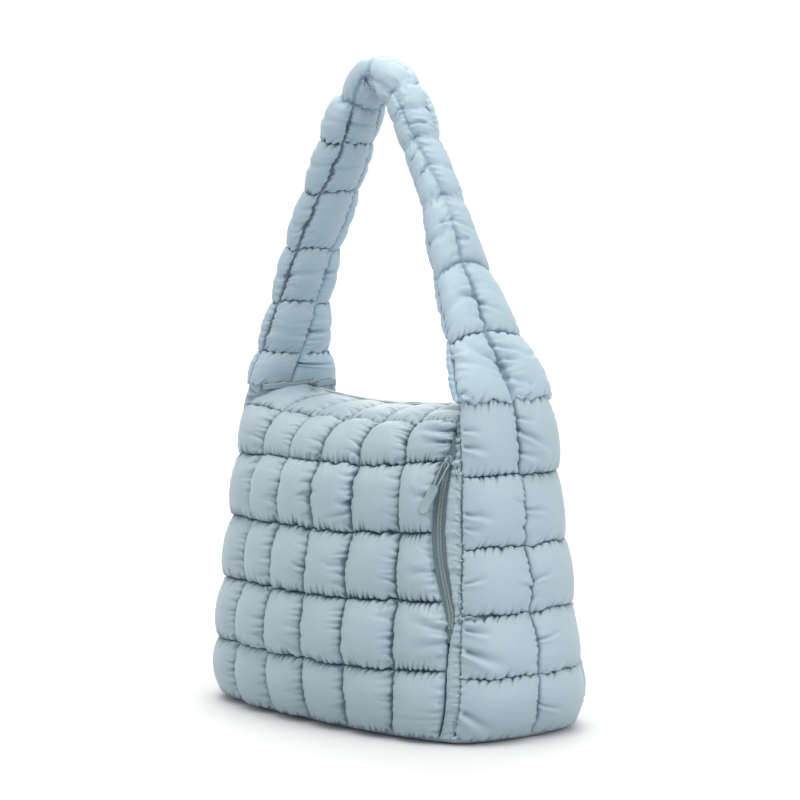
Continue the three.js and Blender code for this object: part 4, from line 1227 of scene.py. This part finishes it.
# %% [markdown]
# ## Tubes and plates
# A slider is a shield-shaped body with an arched bridge on top. A thin cord loop runs through the bridge
# and into a soft moulded tab. The body and the tab are outlines that are pulled up and bevelled with
# bmesh, and the bridge and cord are tubes swept along a path. They are made flat at the origin and
# carried to their place by three directions, so the finished object itself stays unturned.

# %% Swept tubes and bevelled plates
TUBE_SIDES, PATH_STEPS = 10, 10
BEVEL_STEPS, BEVEL_SHAPE, RECESS_EDGE, RECESS_SLOPE = 4, 0.6, 1.6, 0.5


def smooth_path(points):
    points = np.asarray(points, float)
    chart = {"t": np.arange(len(points), dtype=float)}
    chart.update({axis: points[:, k] for k, axis in enumerate("xyz")})
    t = np.linspace(0, len(points) - 1, (len(points) - 1) * PATH_STEPS + 1)
    return stack(*(read(chart, "t", axis, t) for axis in "xyz"))


def tube(path, radius):
    """Vertices and faces of a capped round tube along a path."""
    along = unit(np.gradient(path, axis=0))
    side = unit(np.cross(along[0], [0.3, 0.5, 0.8]))
    turn = 2 * np.pi * np.arange(TUBE_SIDES) / TUBE_SIDES
    rings = []
    for spot, way in zip(path, along):
        side = unit(side - way * np.dot(side, way))
        ring = np.cos(turn)[:, None] * side + np.sin(turn)[:, None] * np.cross(way, side)
        rings.append(spot + radius * ring)
    first = np.arange(TUBE_SIDES)
    caps = [first[::-1].tolist(), (first + (len(path) - 1) * TUBE_SIDES).tolist()]
    return np.concatenate(rings), loft_faces(len(path), TUBE_SIDES) + caps


def plate(outline, thickness, bevel, lift=0.0, recess=0.0):
    """A bmesh of a flat outline pulled up along Z, its rims rounded and its top face sunk a little."""
    work = bmesh.new()
    rings = [[work.verts.new((x, y, z)) for x, y in outline] for z in (0, thickness)]
    work.faces.new(rings[0][::-1])
    top = work.faces.new(rings[1])
    for low, low_next, high, high_next in zip(
        rings[0], rings[0][1:] + rings[0][:1], rings[1], rings[1][1:] + rings[1][:1]
    ):
        work.faces.new((low, low_next, high_next, high))
    rims = [edge for edge in work.edges if abs(edge.verts[0].co.z - edge.verts[1].co.z) < 1e-6]
    if recess:
        bmesh.ops.inset_region(work, faces=[top], thickness=RECESS_EDGE * bevel, depth=0.0)
        bmesh.ops.inset_region(work, faces=[top], thickness=RECESS_SLOPE, depth=-recess)
    bmesh.ops.bevel(work, geom=rims, offset=bevel, segments=BEVEL_STEPS, profile=BEVEL_SHAPE, affect="EDGES")
    bmesh.ops.translate(work, verts=work.verts, vec=(0, 0, lift))
    return work


def set_in(name, parts, place, across, along, up):
    """One object from bmeshes and tubes in local millimetres, carried to a place by three directions."""
    work = bmesh.new()
    for part in parts:
        if isinstance(part, tuple):
            spots = [work.verts.new(point) for point in part[0]]
            for face in part[1]:
                work.faces.new([spots[i] for i in face])
        else:
            shape = bpy.data.meshes.new("part_in_work")
            part.to_mesh(shape)
            part.free()
            work.from_mesh(shape)
            bpy.data.meshes.remove(shape)
    basis = Matrix([[across[k], along[k], up[k], place[k]] for k in range(3)] + [[0, 0, 0, 1]])
    bmesh.ops.transform(work, matrix=Matrix.Scale(MM, 4) @ basis, verts=work.verts)
    bmesh.ops.recalc_face_normals(work, faces=work.faces)
    made = plain_object(name, [], [])
    work.to_mesh(made.data)
    work.free()
    return smooth_shaded(made)


print("a tube has", TUBE_SIDES, "sides, a bevel", BEVEL_STEPS, "steps")

# %% [markdown]
# ## Sliders and pulls
# The slider's body is two shields with a core between them, each the same outline at its own size. The
# pull of the pocket hangs down over the front, so it is aimed at a spot on the swollen cell below. The
# top pull lies forward over the edge of the front panel.

# %% Slider, cord loop and tab
SLIDER_OUTLINE = (
    (-3.2, -6.5), (3.2, -6.5), (3.9, -3), (4.5, 1.5), (4.4, 3.6), (3.4, 5.4), (1.8, 6.4), (0, 6.6),
    (-1.8, 6.4), (-3.4, 5.4), (-4.4, 3.6), (-4.5, 1.5), (-3.9, -3),
)
SHIELDS = ((1, 1, 1.5, 0.5, 0.0), (0.96, 0.96, 1.5, 0.55, 2.3), (0.5, 0.8, 2.0, 0.2, 1.0))
BRIDGE_REACH, BRIDGE_FOOT, BRIDGE_RISE, BRIDGE_RADIUS = 4.1, 3.4, 4.2, 0.85
SLIDER_LIFT, CORD_LIFT, CORD_RADIUS = 0.9, 5.5, 0.75
CORD_LEAD, CORD_TURN, CORD_APART, CORD_IN_TAB, CORD_CLOSE = 6.5, 2.2, 2.9, 3, 2.0
TAB_HALF_WIDTH, TAB_THICKNESS, TAB_BEVEL, TAB_RECESS, TAB_AHEAD = 4.5, 3.2, 1.1, 0.25, 0.8


def tab_outline(length):
    turn = np.linspace(0, np.pi, 14)
    low, high = -length + TAB_HALF_WIDTH, -TAB_HALF_WIDTH
    return [
        (sign * TAB_HALF_WIDTH * math.cos(t), end + sign * TAB_HALF_WIDTH * math.sin(t))
        for sign, end in ((1, high), (-1, low)) for t in turn
    ]


def pull(prefix, place, across, along, up, tab_start, tab_way, tab_up, tab_length):
    seat = place + up * SLIDER_LIFT
    turn = np.linspace(0, math.pi, 15)
    arch = [(0, BRIDGE_REACH * math.cos(t), BRIDGE_FOOT + BRIDGE_RISE * math.sin(t)) for t in turn]
    body = [
        plate([(x * wide, y * long) for x, y in SLIDER_OUTLINE], thick, bevel, lift)
        for wide, long, thick, bevel, lift in SHIELDS
    ]
    body.append(tube(np.array(arch), BRIDGE_RADIUS))
    made_slider = set_in(f"{prefix}_slider_body", body, seat, across, along, up)

    start = seat + up * CORD_LIFT
    elbow = start - along * CORD_LEAD + up * np.dot(tab_start - start, up) / 2
    way = unit(tab_start - elbow)
    turned = unit(across - way * np.dot(across, way))
    strands = [
        [tab_start + way * CORD_IN_TAB + turned * sign * CORD_CLOSE, elbow + turned * sign * CORD_APART,
         start - along * CORD_TURN + across * sign * CORD_APART]
        for sign in (-1, 1)
    ]
    route = smooth_path(strands[0] + [start] + strands[1][::-1])
    made_loop = set_in(f"{prefix}_cord_loop", [tube(route, CORD_RADIUS)], np.zeros(3), *np.eye(3))

    side = unit(np.cross(-tab_way, tab_up))
    face = np.cross(side, -tab_way)
    tab = plate(tab_outline(tab_length), TAB_THICKNESS, TAB_BEVEL, recess=TAB_RECESS)
    tab_place = tab_start + tab_way * TAB_AHEAD - face * TAB_THICKNESS / 2
    made_tab = set_in(f"{prefix}_moulded_tab", [tab], tab_place, side, -tab_way, face)
    return made_slider, made_loop, made_tab


POCKET_SLIDER_ROW, POCKET_REST, POCKET_REST_LIFT = 3.98, (5.42, 3.12), 17.0
POCKET_START_LIFT, POCKET_CORD, POCKET_TAB = 6, 24, 29
TOP_SLIDER_X, TOP_WAY, TOP_FACE = -128.0, unit(np.array([26.0, -21.0, 2.0])), unit(np.array([0.0, -0.4, 1.0]))
TOP_START_LIFT, TOP_CORD, TOP_TAB = 7, 14, 20

place, across, along, up = pocket_frames(POCKET_SLIDER_ROW)
rest = front_point(*POCKET_REST) + facing(front_point, *POCKET_REST) * POCKET_REST_LIFT
start = place + up * POCKET_START_LIFT
way = unit(rest - start)
pocket_pull = pull("pocket", place, across, along, up, start + way * POCKET_CORD, way, up, POCKET_TAB)

place, across, along, up = top_frames(TOP_SLIDER_X)
start = place + up * TOP_START_LIFT
top_pull = pull("top", place, -across, -along, up, start + TOP_WAY * TOP_CORD, TOP_WAY, TOP_FACE, TOP_TAB)
print("pulls:", [piece.name for piece in pocket_pull + top_pull])

# %% [markdown]
# ## Stitches that show
# Most seams close over their thread. It shows on the strap's middle line and beside the pocket zipper,
# so only those lines are stamped, all in one piece.

# %% Stitches
STITCH_SIZES = (2.5, 0.8, 0.6)
STRAP_PITCH, STRAP_LIFT, STRAP_ENDS = 3.8, 0.6, (0.05, 11.95)
EDGE_PITCH, EDGE_LIFT, EDGE_ENDS = 3.0, 0.9, (1.5, 4.45)
EDGE_SHIFTS = (("panel", 0.025), ("strip", -0.025))


def stitch_line(points, up, pitch):
    run = run_along(points)
    at = np.arange(0.5 * pitch, run[-1], pitch)
    spots, ups = (stack(*(np.interp(at, run, line[:, k]) for k in range(3))) for line in (points, up))
    return spots, unit(np.gradient(spots, axis=0)), unit(ups)


rows = np.linspace(*STRAP_ENDS, 900)
middle = np.ones(len(rows))
out = facing(strap_outer_cells, middle, rows)
stitch_sets = [stitch_line(strap_outer_cells(middle, rows) + out * STRAP_LIFT, out, STRAP_PITCH)]
rows = np.linspace(*EDGE_ENDS, 300)
out = pocket_frames(rows)[3]
for edge, shift in EDGE_SHIFTS:
    points = front_point(read(POCKET, "row", edge, rows) + shift, rows) + out * EDGE_LIFT
    stitch_sets.append(stitch_line(points, out, EDGE_PITCH))
stitches = stamp("stitches", *(np.concatenate(group) for group in zip(*stitch_sets)), STITCH_SIZES, thread)

# %% [markdown]
# ## Finishing the pieces
# Every piece gets its finish and moves with the bag, and the solid it stands for is hidden.

# %% Finish the pieces
padded_pieces = (
    (front, "front_panel", nylon, "nylon"), (back, "back_panel", nylon, "nylon"),
    (side_right, "side_panel_right", nylon, "nylon"), (side_left, "side_panel_left", nylon, "nylon"),
    (strap_outer, "strap_outer", nylon_strap, "nylon"),
    (strap_inner, "strap_inner", nylon_inner, "nylon_inner"),
    (strip, "corner_strip", nylon, "nylon"), (base_pad, "base_panel", nylon, "nylon"),
)
hard_pieces = (
    (pocket_tape, "pocket_zip_tape", zip_tape, "zip_tape"),
    (top_tape, "top_zip_tape", top_tape_cloth, "zip_tape"),
    (foot_tape_right, "strap_base_tape_right", zip_tape, "zip_tape"),
    (foot_tape_left, "strap_base_tape_left", top_tape_cloth, "zip_tape"),
    (pocket_coil, "pocket_zip_chain", None, "zip_coil"), (top_coil, "top_zip_chain", None, "zip_coil"),
    (pocket_pull[0], "pocket_slider", slider_metal, "slider"),
    (top_pull[0], "top_slider", slider_metal, "slider"),
    (pocket_pull[1], "pocket_pull_loop", rubber, "pull"), (top_pull[1], "top_pull_loop", rubber, "pull"),
    (pocket_pull[2], "pocket_pull_tab", rubber, "pull"), (top_pull[2], "top_pull_tab", rubber, "pull"),
)
for piece, node, material, slot in padded_pieces + hard_pieces:
    if material:
        piece.data.materials.append(material)
    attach(piece, "root")
    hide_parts(node)
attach(stitches, "root")
